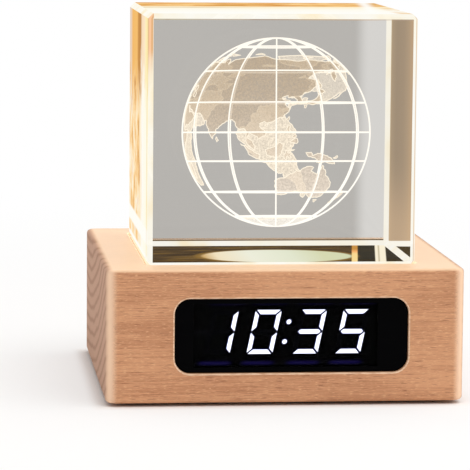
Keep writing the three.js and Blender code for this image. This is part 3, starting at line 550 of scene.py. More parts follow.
@dataclass(frozen=True)
class CellSleeve(Finish):
    """Printed sleeve of a battery cell, with a band at one third of its length and bare ends."""

    name: str = "cell_sleeve"
    body: Rgb = (46, 104, 74)
    band: Rgb = (206, 150, 62)
    scuff: Rgb = (230, 228, 220)
    cap: Rgb = (196, 196, 192)
    band_from: Pair = (14.8, 15.0)
    cap_from: Pair = (21.1, 21.2)

    def paint(self, shop: Shader) -> Socket:
        """The band and the ends by the distance from the middle of the bay."""
        x, _, _ = shop.axes()
        scuff = shop.noise((0.6, 2.0, 2.0), 4, 0.7)
        capped = abs(x).step(*self.cap_from)
        shade = shop.mix(abs(x).step(*self.band_from), self.body, self.band)
        shade = shop.mix(0.25 * scuff.step(0.5, 0.7), shade, self.scuff)
        return shop.surface({
            "Base Color": shop.mix(capped, shade, self.cap),
            "Metallic": 0.25 + 0.75 * capped,
            "Roughness": 0.3 + 0.2 * scuff,
        })


@dataclass(frozen=True)
class Sheath(Finish):
    """Soft sheath of a lead or a ribbon, with fine wires showing where it is a ribbon."""

    name: str
    shade: Rgb
    dark: Rgb
    wires_per_mm: float = 0.0
    mottle_per_mm: float = 1.2

    def paint(self, shop: Shader) -> Socket:
        """A ripple across the height where there are wires, and a soft mottle."""
        _, _, z = shop.axes()
        mottle = shop.noise(self.mottle_per_mm, 3)
        ripple = 0.5 + 0.5 * (z * (TURN * self.wires_per_mm)).sine()
        tone = (0.6 * ripple + 0.4 * mottle).step(0.2, 0.8)
        return shop.surface({
            "Base Color": shop.mix(tone, self.dark, self.shade),
            "Roughness": 0.5 + 0.1 * mottle,
            "Normal": shop.bump(ripple, 0.1, 0.6),
        })


@dataclass(frozen=True)
class Diffuser(Finish):
    """Milky resin that a lamp shines through, brightest in its middle."""

    name: str
    glow: Rgb
    strength: float
    reach: float = 26.0
    dim: Rgb = (60, 62, 60)
    resin: tuple[Rgb, Rgb] = ((226, 228, 222), (244, 246, 242))
    mottle_per_mm: float = 0.7

    def paint(self, shop: Shader) -> Socket:
        """A glow that fades outwards, with a faint mottle."""
        x, y, _ = shop.axes()
        fade = distance(x, y).step(1.15 * self.reach, 0.0)
        mottle = shop.noise(self.mottle_per_mm, 3)
        return shop.surface({
            "Base Color": shop.mix(mottle, *self.resin),
            "Roughness": 0.45 + 0.2 * mottle,
            "Emission Color": shop.mix(0.45 + 0.5 * fade + 0.1 * mottle, self.dim, self.glow),
            "Emission Strength": self.strength,
        })


@dataclass(frozen=True)
class LitSegment(Finish):
    """A digit's segment, lit or dark."""

    name: str
    glow: Rgb
    strength: float
    cool: Rgb = (200, 208, 255)
    resin: tuple[Rgb, Rgb] = ((2, 2, 3), (6, 6, 8))
    mottle_per_mm: float = 1.4

    def paint(self, shop: Shader) -> Socket:
        """A glow with a slight mottle of a cooler colour."""
        mottle = shop.noise(self.mottle_per_mm)
        return shop.surface({
            "Base Color": shop.mix(mottle, *self.resin),
            "Roughness": 0.5 + 0.1 * mottle,
            "Specular IOR Level": 0.2,
            "Emission Color": shop.mix(0.25 * mottle, self.glow, self.cool),
            "Emission Strength": self.strength,
        })


@dataclass(frozen=True)
class DisplayFace(Finish):
    """The black face round the digits, on which their light lies in faint violet pools."""

    name: str = "display_face"
    glow: Rgb = (66, 54, 160)
    bar: Rgb = (84, 84, 90)
    black: tuple[Rgb, Rgb] = ((2, 2, 3), (6, 6, 8))
    middle_x: float = 0.5
    middle_z: float = 21.5
    pool_low: float = 9.2
    pool_high: float = 8.4
    pair: float = 13.05
    half_pitch: float = 6.35
    slope: float = 0.21
    strength: float = 0.5
    grain_per_mm: float = 3.0

    def paint(self, shop: Shader) -> Socket:
        """Pools under and over the digits, and one faint bar at the left."""
        x, _, z = shop.axes()
        rise = z - self.middle_z
        beside = abs(abs(abs(x - self.middle_x - self.slope * rise) - self.pair) - self.half_pitch)
        low = rise.bell(-self.pool_low, 0.9) * beside.step(5.6, 3.0)
        high = rise.bell(self.pool_high, 0.7) * beside.step(6.4, 3.0) * 0.35
        band = rise.bell(0.0, 0.9) * x.step(-12.0, -20.0) * 0.3
        light = shop.mix(low + high, (0, 0, 0), self.glow)
        grain = shop.noise(self.grain_per_mm, 3)
        return shop.surface({
            "Base Color": shop.mix(grain, *self.black),
            "Roughness": 0.5 + 0.2 * grain,
            "Specular IOR Level": 0.2,
            "Emission Color": shop.mix(band, light, self.bar, "ADD"),
            "Emission Strength": self.strength,
        })


@dataclass(frozen=True)
class SmokedAcrylic(Finish):
    """Smoked acrylic, printed black on its back outside the display's face."""

    name: str = "smoked_window"
    smoke: tuple[Rgb, Rgb] = ((120, 120, 126), (128, 128, 134))
    black: tuple[Rgb, Rgb] = ((2, 2, 3), (5, 5, 6))
    print_x: Pair = (27.1, 27.3)
    print_z: Pair = (9.3, 9.5)
    middle_z: float = 20.8
    bending: float = 1.07

    def paint(self, shop: Shader) -> Socket:
        """See-through inside the print, with faint wiping marks in its gloss."""
        x, _, z = shop.axes()
        printed = abs(x).step(*self.print_x).most(abs(z - self.middle_z).step(*self.print_z))
        wipes = shop.noise((0.1, 0.4, 0.7), 4, 0.6)
        glass = shop.surface({
            "Base Color": shop.mix(wipes, *self.smoke),
            "Roughness": 0.0,
            "IOR": self.bending,
            "Transmission Weight": 1.0,
        })
        black = shop.surface({
            "Base Color": shop.mix(wipes, *self.black),
            "Roughness": 0.05 + 0.1 * wipes,
            "IOR": self.bending,
        })
        return shop.blend(printed, glass, black)


class GlassFace(Enum):
    """The kinds of face that the glass block has."""

    SIDE = 0
    TOP = 1
    FOOT = 2
    CHAMFER = 3


@dataclass(frozen=True)
class CrystalFace(Finish):
    """One kind of face of the glass block.

    Seen square on it is clear glass. Seen along its surface it shows painted warm light for what the polished
    faces trap, and the ground foot always shows painted light from below it. Stops run across a face or a
    noise.
    """

    name: str
    kind: GlassFace
    tint: tuple[Rgb, Rgb] = ((179, 176, 171), (185, 182, 177))
    clear_tint: Rgb = (250, 249, 247)
    half: float = 40.0
    foot: float = 39.5
    on_face: Pair = (39.8, 39.9)
    on_chamfer: Pair = (38.3, 38.5)
    on_top: Pair = (112.8, 113.0)
    clear_strip: Pair = (28.2, 33.4)
    graze: Pair = (0.78, 0.88)
    strength: float = 1.4
    # Painted shade: a thin dark line low on the back face, and a fainter one high on the front face.
    shade_line_low: Pair = (41.45, 41.3)
    shade_line_high: Pair = (112.6, 112.8)
    shade_line: Rgb = (104, 80, 46)
    side: Stops = (
        (0.0, (214, 166, 100)), (0.04, (255, 240, 178)), (0.16, (255, 238, 190)), (0.2, (252, 228, 198)),
        (0.34, (250, 222, 186)), (0.39, (190, 134, 74)), (0.52, (206, 148, 82)), (0.57, (246, 192, 112)),
        (0.82, (244, 188, 110)), (0.88, (236, 208, 182)), (1.0, (222, 206, 196)),
    )
    side_low: Stops = (
        (0.0, (255, 240, 190)), (0.1, (255, 252, 232)), (0.34, (255, 252, 244)), (0.42, (255, 240, 206)),
    )
    side_amber: Stops = (
        (0.34, (214, 158, 96)), (0.44, (250, 204, 140)), (0.52, (255, 226, 178)), (0.6, (255, 246, 222)),
        (0.68, (248, 216, 186)),
    )
    side_white: Rgb = (255, 254, 246)
    side_line: Rgb = (232, 186, 104)
    right: Stops = (
        (0.0, (134, 120, 104)), (0.04, (146, 132, 114)), (0.08, (190, 164, 136)), (0.2, (192, 164, 132)),
        (0.35, (176, 155, 129)), (0.5, (166, 147, 124)), (0.75, (162, 144, 122)), (0.93, (172, 153, 128)),
        (0.98, (196, 174, 142)),
    )
    right_low: Rgb = (222, 190, 154)
    right_olive: Rgb = (74, 60, 34)
    right_cream: Rgb = (255, 252, 242)
    top_front: Stops = (
        (0.0, (255, 254, 250)), (0.35, (255, 252, 240)), (0.5, (255, 246, 220)), (0.64, (255, 236, 196)),
    )
    top_back: Stops = (
        (0.34, (206, 158, 70)), (0.44, (222, 150, 82)), (0.52, (242, 190, 116)), (0.6, (255, 220, 156)),
        (0.7, (226, 168, 98)),
    )
    top_line: Rgb = (176, 140, 84)
    top_right: Rgb = (240, 200, 138)
    top_white: Rgb = (255, 255, 250)
    lamp_middle: Pair = (1.5, -0.5)
    lamp_radius: float = 23.2
    lamp_rim: Rgb = (150, 116, 56)
    lamp: Stops = (
        (0.24, (214, 178, 118)), (0.29, (246, 232, 200)), (0.42, (242, 244, 228)), (0.58, (230, 236, 214)),
        (0.7, (218, 222, 184)), (0.82, (216, 224, 188)),
    )
    ground: Stops = ((0.32, (62, 48, 30)), (0.5, (84, 66, 42)), (0.66, (122, 94, 46)))
    ground_right: Rgb = (46, 46, 38)
    line_slant: float = 0.0944
    foot_amber: Stops = (
        (0.0, (255, 228, 160)), (0.58, (255, 222, 150)), (0.7, (252, 178, 106)), (0.8, (204, 148, 70)),
    )
    foot_cream: Rgb = (255, 246, 222)
    foot_gap: Rgb = (176, 160, 124)
    edge: Stops = ((0.3, (255, 240, 206)), (0.45, (255, 250, 234)), (0.65, (255, 254, 248)))
    edge_left: Stops = (
        (0.0, (196, 156, 90)), (0.12, (255, 194, 144)), (0.5, (255, 198, 148)), (0.62, (226, 164, 98)),
        (0.86, (232, 176, 114)), (1.0, (255, 246, 226)),
    )
    edge_right: Rgb = (214, 164, 96)
    edge_back: Rgb = (230, 216, 208)

    def paint(self, shop: Shader) -> Socket:
        """The clear glass and the light on it."""
        light = {
            GlassFace.SIDE: self._side_light,
            GlassFace.TOP: self._top_light,
            GlassFace.FOOT: self._foot_light,
            GlassFace.CHAMFER: self._edge_light,
        }[self.kind](shop)
        x, y, z = shop.axes()
        outer = (-1.0 * x).step(*self.on_chamfer).most((-1.0 * y).step(*self.on_chamfer))
        outer = outer.most(z.step(*self.on_top))
        plain = shop.mix(1.0, light, (1 / self.strength,) * 3 + (1.0,), "MULTIPLY")
        film = shop.glow(shop.mix(outer, light, plain), self.strength, 0.15)
        if self.kind is GlassFace.FOOT:
            return film
        cloud = shop.noise(0.02, 1)
        strip = x.step(*self.clear_strip) * y.step(*self.on_face)
        clear = shop.surface({
            "Base Color": shop.mix(strip, shop.mix(cloud, *self.tint), self.clear_tint),
            "Roughness": 0.0,
            "IOR": 1.52,
            "Transmission Weight": 1.0,
            "Specular Tint": (0.3, 0.3, 0.3, 1.0),
        })
        if self.kind is GlassFace.CHAMFER:
            return shop.blend(0.95 + 0.1 * (cloud - 0.5), clear, film)
        shown = shop.facing().step(*self.graze)
        if self.kind is GlassFace.SIDE:
            shown = shown.most(self._shade_line(shop))
        return shop.blend(shown, clear, film)

    def _share(self, place: Value) -> Value:
        """How far along a face a place is: 0 at one side, 1 at the other."""
        return place * (0.5 / self.half) + 0.5

    def _shade_line(self, shop: Shader) -> Value:
        """Where a thin dark line of painted shade runs: low on the back face, and fainter high on the front
        one.
        """
        _, y, z = shop.axes()
        low = y.step(*self.on_face) * z.step(*self.shade_line_low)
        return low.most(0.5 * ((-1.0 * y).step(*self.on_face) * z.step(*self.shade_line_high)))

    def _side_light(self, shop: Shader) -> Socket:
        """Upright amber and cream streaks on three faces, and what the right one mirrors.

        Args:
            shop: the material's nodes.

        Returns:
            The colour of the light.
        """
        x, y, z = shop.axes()
        streaks = shop.noise((0.35, 0.35, 0.02), 3, 0.6)
        blotch = shop.noise((0.11, 0.11, 0.085), 4, 0.65)
        on_x = abs(x).step(*self.on_face)
        along = self._share(on_x * y + (1.0 - on_x) * x)
        shade = shop.ramp(along + 0.09 * (streaks - 0.5), self.side)
        level = z - self.foot
        low = shop.ramp(along + 0.3 * (blotch - 0.5), self.side_low)
        amber = shop.ramp(blotch, self.side_amber)
        low = shop.mix((along + 0.5 * (streaks - 0.5)).step(0.34, 0.46), low, amber)
        shade = shop.mix((level + 60.0 * (blotch - 0.5)).step(60.0, 44.0), shade, low)
        white = abs(level - 8.5).step(2.8, 1.7).most(level.step(3.2, 2.4))
        shade = shop.mix(white, shade, self.side_white)
        lines = along.bell(0.07, 0.016) * streaks.step(0.36, 0.5)
        shade = shop.mix(0.7 * lines, shade, self.side_line)
        # Painted shade: the thin dark lines.
        shade = shop.mix(self._shade_line(shop), shade, self.shade_line)
        return shop.mix(x.step(*self.on_face), shade, self._right_light(shop))

    def _right_light(self, shop: Shader) -> Socket:
        """Tan that pales towards the front, over a cream band and the olive shade of the foot.

        Args:
            shop: the material's nodes.

        Returns:
            The colour of the light.
        """
        _, y, z = shop.axes()
        tan = shop.ramp(self._share(y), self.right)
        tan = shop.mix(0.45 * z.step(70.0, 44.0), tan, self.right_low)
        level = z + 0.08 * y
        tan = shop.mix(level.step(42.6, 42.3), tan, self.right_olive)
        return shop.mix(abs(level - 43.1).step(0.95, 0.75), tan, self.right_cream)

    def _top_light(self, shop: Shader) -> Socket:
        """Amber streaks towards the back, a thin dark line at the left, and cream towards the front.

        Args:
            shop: the material's nodes.

        Returns:
            The colour of the light.
        """
        x, y, _ = shop.axes()
        front = shop.ramp(self._share(y), self.top_front)
        streaks = shop.noise((0.07, 0.3, 0.3), 3, 0.6)
        amber = shop.ramp(streaks, self.top_back)
        shade = shop.mix((y + 10.0 * (streaks - 0.5)).step(8.0, 12.0), front, amber)
        line = (y + 6.0 * (streaks - 0.5)).bell(2.0, 2.2) * x.step(4.0, -20.0)
        shade = shop.mix(0.75 * line, shade, self.top_line)
        shade = shop.mix(0.8 * x.step(33.0, 36.0) * streaks.step(0.42, 0.55), shade, self.top_right)
        return shop.mix(0.9 * (x - 0.1 * y).bell(31.0, 3.4), shade, self.top_white)

    def _foot_light(self, shop: Shader) -> Socket:
        """What the foot mirrors: the lit disc in olive shade, an amber line and a pair of cream ones.

        Args:
            shop: the material's nodes.

        Returns:
            The colour of the light.
        """
        x, y, _ = shop.axes()
        line = x - self.line_slant * y
        ground = shop.ramp(shop.noise((0.06, 0.14, 0.1), 3, 0.6), self.ground)
        ground = shop.mix(0.8 * line.step(25.0, 27.0), ground, self.ground_right)
        radius = distance(x - self.lamp_middle[0], y - self.lamp_middle[1])
        disc = shop.ramp(self._share(x), self.lamp)
        ground = shop.mix(0.8 * radius.bell(self.lamp_radius + 0.9, 2.2), ground, self.lamp_rim)
        shade = shop.mix(radius.step(self.lamp_radius + 0.7, self.lamp_radius - 0.9), ground, disc)
        amber = shop.ramp(self._share(y), self.foot_amber)
        shade = shop.mix(abs(line - 25.6).step(1.1, 0.7), shade, amber)
        shade = shop.mix(abs(line - 33.6).step(1.85, 1.45), shade, self.foot_cream)
        return shop.mix(0.7 * line.bell(33.1, 0.45), shade, self.foot_gap)

    def _edge_light(self, shop: Shader) -> Socket:
        """Cream-white light along the chamfers, salmon and amber high on the front left one.

        Args:
            shop: the material's nodes.

        Returns:
            The colour of the light.
        """
        x, y, z = shop.axes()
        run = shop.noise((0.09, 0.09, 0.05))
        cream = shop.ramp(run, self.edge)
        warm = shop.ramp((x - y) * 0.33 + 0.5, self.edge_left)
        left = (-1.0 * x).step(*self.on_chamfer) * (-1.0 * y).step(*self.on_chamfer)
        high = (z + 60.0 * (run - 0.5)).step(85.5, 101.5)
        shade = shop.mix(0.9 * left * high, cream, warm)
        right = x.step(*self.on_chamfer) * (x + y).bell(0.7, 0.5)
        shade = shop.mix(0.8 * right * run.step(0.35, 0.5), shade, self.edge_right)
        return shop.mix(y.step(*self.on_chamfer) * z.step(*self.on_top), shade, self.edge_back)


@dataclass(frozen=True)
class EngravedLine(Finish):
    """Bright line of fine cracks in the glass."""

    name: str
    glow: Rgb
    strength: float
    # Painted light: the dimmer colour of the glow higher up, further from the lamp.
    thin: Rgb = (236, 222, 200)
    grain_per_mm: float = 2.2

    def paint(self, shop: Shader) -> Socket:
        """A grainy glow of painted light that is brighter towards the lamp below."""
        _, _, z = shop.axes()
        grain = shop.noise(self.grain_per_mm)
        # Painted light: the glow dims higher up, away from the lamp below.
        light = shop.mix(0.3 * grain + 0.15 * (1.0 - z.step(100.0, 50.0)), self.glow, self.thin)
        return shop.glow(light, self.strength)


@dataclass(frozen=True)
class FrostedLand(Finish):
    """A land made of many fine points of frost, see-through between them and thin high up behind."""

    name: str = "frosted_land"
    # Painted light of the frost: behind, high up in front and low down in front.
    far: Rgb = (244, 232, 212)
    high: Rgb = (180, 160, 133)
    low: Rgb = (230, 218, 204)
    stipple: Stops = ((0.34, (214, 210, 204)), (0.66, (255, 255, 255)))
    behind: Pair = (-3.0, 3.0)
    cover: float = 0.45
    strength: float = 2.0

    def paint(self, shop: Shader) -> Socket:
        """Points of frost in the colour and in the cover, glowing with painted light that is brighter low
        down and behind.
        """
        points = shop.noise(1.9, 3, 0.7)
        broad = shop.noise(0.09)
        _, y, z = shop.axes()
        # Painted light: darker high up and paler low down, nearer the lamp, and paler still behind.
        near = shop.mix(z.step(98.0, 52.0), self.high, self.low)
        shade = shop.mix(y.step(*self.behind), near, self.far)
        thin = y.step(*self.behind) * z.step(83.0, 90.0)
        thick = (self.cover + 0.9 * (points - 0.5) + 0.25 * (broad - 0.5)) * (1.0 - 0.45 * thin)
        light = shop.mix(1.0, shade, shop.ramp(points, self.stipple), "MULTIPLY")
        return shop.glow(light, self.strength, cover=thick)


class Along(Enum):
    """The direction in which a stack of outlines is built up."""

    X = 0
    Y = 1
    Z = 2

    def point(self, across: float, up: float, level: float) -> Vector:
        """A place in an outline at a level: its two coordinates are YZ, XZ or XY."""
        place = [across, up]
        place.insert(self.value, level)
        return Vector(place)

    def flat(self, place: Vector) -> Pair:
        """The two coordinates of a place that an outline has."""
        first, second = (value for axis, value in enumerate(place) if axis != self.value)
        return first, second


@dataclass(frozen=True)
class Room:
    """The space that a CAD node fills at rest."""

    low: Vector
    high: Vector

    @classmethod
    def of(cls, node: str) -> Room:
        """The room of the node of that name."""
        return cls(*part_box(node))

    @property
    def middle(self) -> Vector:
        """Its middle."""
        return (self.low + self.high) / 2

    @property
    def size(self) -> Vector:
        """Its width, depth and height."""
        return self.high - self.low


def rounded(width: float, height: float, radius: float, middle: Pair = (0.0, 0.0), steps: int = 8) -> Outline:
    """A rectangle with round corners, from its upper right corner anticlockwise.

    Args:
        width: its width.
        height: its height.
        radius: the radius of its corners.
        middle: its middle.
        steps: how many flats each corner has.

    Returns:
        The outline.
    """
    points = []
    for corner, (side, rise) in enumerate([(1, 1), (-1, 1), (-1, -1), (1, -1)]):
        for step in range(steps + 1):
            angle = (corner + step / steps) * QUARTER
            points.append((
                middle[0] + side * (width / 2 - radius) + radius * math.cos(angle),
                middle[1] + rise * (height / 2 - radius) + radius * math.sin(angle),
            ))
    return points


def disc(radius: float, middle: Pair = (0.0, 0.0), sides: int = 48) -> Outline:
    """A circle."""
    angles = [TURN * side / sides for side in range(sides)]
    return [(middle[0] + radius * math.cos(a), middle[1] + radius * math.sin(a)) for a in angles]


def drawn_in(room: Room, corner: float, along: Along = Along.Z, steps: int = 8) -> Shape:
    """The way that a room's outline is drawn.

    Args:
        room: the room.
        corner: the radius of its corners.
        along: the direction that it is seen in.
        steps: how many flats each corner has.

    Returns:
        A function that gives the outline with its sides moved inwards by a distance.
    """
    (width, height), middle = along.flat(room.size), along.flat(room.middle)
    return lambda inset: rounded(width - 2 * inset, height - 2 * inset, corner - inset, middle, steps)


def eased(shape: Shape, low: float, high: float, ease: float, steps: int) -> list[Section]:
    """Sections of a plate whose two rims are rounded over.

    Args:
        shape: gives the outline drawn in by a distance.
        low: the level of one face.
        high: the level of the other.
        ease: the radius of the rims.
        steps: how many flats each rim has.

    Returns:
        The sections from the low face to the high one.
    """
    angles = [QUARTER * step / steps for step in range(steps + 1)]
    rim = [(shape(ease * (1 - math.sin(a))), ease * (1 - math.cos(a))) for a in angles]
    low_rim = [(outline, low + rise) for outline, rise in rim]
    return low_rim + [(outline, high - rise) for outline, rise in reversed(rim)]


def show(name: str, mesh: bpy.types.Mesh) -> Piece:
    """Puts a mesh into the scene as an object at the origin."""
    made = bpy.data.objects.new(name, mesh)
    bpy.context.scene.collection.objects.link(made)
    return made


def formed(name: str, shape: bmesh.types.BMesh) -> Piece:
    """Puts what bmesh made into the scene, and frees it."""
    mesh = bpy.data.meshes.new(name)
    shape.to_mesh(mesh)
    shape.free()
    return show(name, mesh)


def solid(name: str, points: list[Vector], faces: list[list[int]]) -> Piece:
    """One mesh of points and faces, with doubles merged and its faces turned outwards.

    Args:
        name: its name.
        points: its corners.
        faces: the numbers of each face's corners.

    Returns:
        The object.
    """
    shape = bmesh.new()
    corners = [shape.verts.new(point) for point in points]
    for face in faces:
        shape.faces.new([corners[index] for index in face])
    bmesh.ops.remove_doubles(shape, verts=shape.verts, dist=WELD)
    bmesh.ops.recalc_face_normals(shape, faces=shape.faces)
    return formed(name, shape)


def rows_between(start: int, rows: int, count: int) -> list[list[int]]:
    """The faces between rows of points, each row a closed loop.

    Args:
        start: the number of the first point.
        rows: how many rows there are.
        count: how many points each row has.

    Returns:
        The numbers of each face's corners.
    """
    faces = []
    for first in range(start, start + (rows - 1) * count, count):
        for index in range(count):
            after, second = (index + 1) % count, first + count
            faces.append([first + index, first + after, second + after, second + index])
    return faces


def stack(name: str, sections: list[Section], along: Along = Along.Z) -> Piece:
    """A closed body through outlines of as many points each, one level after another."""
    count = len(sections[0][0])
    points = [along.point(*place, level) for outline, level in sections for place in outline]
    faces = rows_between(0, len(sections), count)
    ends = [list(range(count)), list(range(len(points) - count, len(points)))]
    return solid(name, points, faces + ends)


def prism(name: str, outline: Outline, low: float, high: float, along: Along = Along.Z) -> Piece:
    """A body with one outline from one level to another."""
    return stack(name, [(outline, low), (outline, high)], along)


def box(name: str, middle: Vector, size: Vector) -> Piece:
    """A block, as a tool to cut with."""
    corners = [
        (middle.x + across * size.x / 2, middle.y + up * size.y / 2)
        for across, up in [(-1, -1), (1, -1), (1, 1), (-1, 1)]
    ]
    return prism(name, corners, middle.z - size.z / 2, middle.z + size.z / 2)


def bake(made: Piece) -> None:
    """Turns an object and its modifiers into a plain mesh."""
    drawn = made.evaluated_get(bpy.context.evaluated_depsgraph_get())
    mesh = bpy.data.meshes.new_from_object(drawn)
    made.modifiers.clear()
    made.data = mesh


def carve(body: Piece, tools: list[Piece]) -> None:
    """Cuts tools out of a body and takes the tools away."""
    for tool in tools:
        step = body.modifiers.new("carve", "BOOLEAN")
        step.operation = "DIFFERENCE"
        step.solver = "EXACT"
        step.object = tool
    bake(body)
    for tool in tools:
        bpy.data.objects.remove(tool)


def polish(made: Piece, sharp_degrees: float = 35.0) -> None:
    """Shades rounds smoothly and keeps the flats flat."""
    made.data.shade_smooth()
    made.data.set_sharp_from_angle(angle=math.radians(sharp_degrees))
    step = made.modifiers.new("polish", "WEIGHTED_NORMAL")
    step.keep_sharp = True
    bake(made)


def merged(name: str, pieces: list[Piece]) -> Piece:
    """Several objects' meshes in one object, each with its own materials."""
    shape = bmesh.new()
    materials: list[Material] = []
    for piece in pieces:
        start = len(shape.faces)
        shape.from_mesh(piece.data)
        shape.faces.ensure_lookup_table()
        own = list(piece.data.materials)
        materials += [material for material in own if material not in materials]
        for face in shape.faces[start:] if own else []:
            face.material_index = materials.index(own[face.material_index])
        bpy.data.objects.remove(piece)
    made = formed(name, shape)
    for material in materials:
        made.data.materials.append(material)
    return made


def refined(node: str, name: str, edge: float, segments: int = 2) -> Piece:
    """A node's own shape with its sharp edges rounded over.

    Args:
        node: the CAD node.
        name: the new piece's name.
        edge: the width of the rounds.
        segments: how many flats each round has.

    Returns:
        The new piece, not yet dressed.
    """
    shape = bmesh.new()
    shape.from_mesh(bpy.data.objects[node].data)
    bmesh.ops.remove_doubles(shape, verts=shape.verts, dist=WELD)
    bmesh.ops.dissolve_limit(shape, angle_limit=math.radians(0.5), verts=shape.verts, edges=shape.edges)
    bmesh.ops.recalc_face_normals(shape, faces=shape.faces)
    made = formed(name, shape)
    step = made.modifiers.new("edges", "BEVEL")
    step.width = edge
    step.segments = segments
    step.limit_method = "ANGLE"
    step.angle_limit = math.radians(40)
    step.use_clamp_overlap = True
    polish(made, 40.0)
    return made


def dress(made: Piece, material: Material | None, slot: str, body: str, *nodes: str) -> Piece:
    """Gives a piece its material and its body.

    Args:
        made: the piece.
        material: its one material, or None where its faces have theirs already.
        slot: not used.
        body: the body that it rides on.
        nodes: the CAD nodes that it stands for.

    Returns:
        The piece.
    """
    if material is not None:
        made.data.materials.clear()
        made.data.materials.append(material)
    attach(made, body)
    if nodes:
        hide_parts(*nodes)
    LOG.info("%s: %d faces, rides on %s", made.name, len(made.data.polygons), body)
    return made


def ease_node(node: str, suffix: str, edge: float, finish: Material, slot: str, body: str = "base") -> None:
    """Puts a refined and dressed copy in a node's place.

    Args:
        node: the CAD node.
        suffix: what its name gets.
        edge: the width of the rounds.
        finish: the material.
        slot: passed on to dress.
        body: the body that it rides on.
    """
    dress(refined(node, f"{node}_{suffix}", edge), finish, slot, body, node)


class Recipe(Graph):
    """A Geometry Nodes tree with named inputs. It ends in Realize Instances and Set Material."""

    def __init__(self, name: str) -> None:
        """Makes the tree with its geometry going in and out."""
        self.group = bpy.data.node_groups.new(name, "GeometryNodeTree")
        super().__init__(self.group)
        for label, way, kind in [
            ("Seed", "INPUT", "Geometry"), ("Result", "OUTPUT", "Geometry"), ("Finish", "INPUT", "Material"),
        ]:
            self.group.interface.new_socket(label, in_out=way, socket_type=f"NodeSocket{kind}")
        self.start = self.node("NodeGroupInput")
        self.seed = self.start.outputs["Seed"]
        self.end = self.node("NodeGroupOutput")

    def size(self, name: str, kind: str = "Float") -> Socket:
        """A named input."""
        self.group.interface.new_socket(name, in_out="INPUT", socket_type=f"NodeSocket{kind}")
        return self.start.outputs[name]

    def part(self, kind: str, **inputs: object) -> Socket:
        """The first output of a new geometry node, with underscores for the spaces in its inputs' names."""
        named = {name.replace("_", " "): value for name, value in inputs.items()}
        return self.node(f"GeometryNode{kind}", inputs=named).outputs[0]

    def copies(self, points: Socket, model: Socket, **more: object) -> Socket:
        """A model at each point."""
        return self.part("InstanceOnPoints", Points=points, Instance=model, **more)

    def tube(self, lines: Socket, radius: Socket, sides: object = 8, capped: bool = True) -> Socket:
        """A round tube along curves."""
        ring = self.part("CurvePrimitiveCircle", Resolution=sides, Radius=radius)
        return self.part("CurveToMesh", Curve=lines, Profile_Curve=ring, Fill_Caps=capped)

    def about_z(self, angle: Value) -> Socket:
        """A turn about Z."""
        return self.node("ShaderNodeCombineXYZ", inputs={"Z": angle}).outputs[0]

    def deliver(self, geometry: Socket) -> Recipe:
        """Ends the tree and gives it."""
        real = self.part("RealizeInstances", Geometry=geometry)
        dressed = self.part("SetMaterial", Geometry=real, Material=self.start.outputs["Finish"])
        self.feed(self.end.inputs["Result"], dressed)
        return self

    def make(self, name: str, seeds: bpy.types.Mesh, material: Material, sizes: dict[str, object]) -> Piece:
        """Runs the tree and gives a plain mesh.

        Args:
            name: the new object's name.
            seeds: the mesh that the tree starts from.
            material: the finish of what it makes.
            sizes: a value for each of its named inputs.

        Returns:
            The object at the origin.
        """
        made = show(name, seeds)
        step = made.modifiers.new(self.group.name, "NODES")
        step.node_group = self.group
        values = {"Finish": material, **sizes}
        for item in self.group.interface.items_tree:
            if item.in_out == "INPUT" and item.name in values:
                step[item.identifier] = values[item.name]
        bake(made)
        return made


def edge_mesh(name: str, lines: list[list[Vector]], closed: bool = False) -> bpy.types.Mesh:
    """Rows of points joined by edges, each row a loop where closed. A row of one is a loose point."""
    points, edges = [], []
    for line in lines:
        start = len(points)
        points += line
        edges += [(start + index, start + index + 1) for index in range(len(line) - 1)]
        if closed:
            edges.append((start + len(line) - 1, start))
    mesh = bpy.data.meshes.new(name)
    mesh.from_pydata(points, edges, [])
    return mesh


def tube_recipe() -> Recipe:
    """Round tubes along the seed's edges."""
    recipe = Recipe("tubes_along_edges")
    radius, sides = recipe.size("Radius"), recipe.size("Sides", "Int")
    return recipe.deliver(recipe.tube(recipe.part("MeshToCurve", Mesh=recipe.seed), radius, sides))


def copy_recipe(chance_seed: int = 7) -> Recipe:
    """A copy of one piece at each seed point, turned alike and then spun at random about its own axis."""
    recipe = Recipe("copies_on_points")
    piece, turn = recipe.size("Piece", "Object"), recipe.size("Turn", "Vector")
    spin = Value(recipe, recipe.size("Spin"))
    model = recipe.node("GeometryNodeObjectInfo", inputs={"Object": piece}).outputs["Geometry"]
    placed = recipe.copies(recipe.seed, model, Rotation=turn)
    chance = recipe.node("FunctionNodeRandomValue", {"data_type": "FLOAT"}, {"Seed": chance_seed})
    angle = Value(recipe, chance.outputs[1]) * spin
    return recipe.deliver(recipe.part("RotateInstances", Instances=placed, Rotation=recipe.about_z(angle)))


def coil_recipe(steps_a_turn: int = 28) -> Recipe:
    """A spring of round wire at each seed point, wound along X."""
    recipe = Recipe("coils_on_points")
    names = ("Turns", "Radius", "Far Radius", "Length", "Wire Radius")
    turns, radius, taper, length, wire = (recipe.size(name) for name in names)
    coil = recipe.part(
        "CurveSpiral", Resolution=steps_a_turn, Rotations=turns, Start_Radius=radius, End_Radius=taper,
        Height=length,
    )
    laid = recipe.part("Transform", Geometry=recipe.tube(coil, wire), Rotation=(0.0, QUARTER, 0.0))
    return recipe.deliver(recipe.copies(recipe.seed, laid))


def bar_recipe() -> Recipe:
    """A row of like bars from each seed point."""
    recipe = Recipe("rows_of_bars")
    count = recipe.size("Count", "Int")
    pitch, size = recipe.size("Pitch", "Vector"), recipe.size("Bar", "Vector")
    row = recipe.part("MeshLine", Count=count, Offset=pitch)
    return recipe.deliver(recipe.copies(recipe.seed, recipe.copies(row, recipe.part("MeshCube", Size=size))))


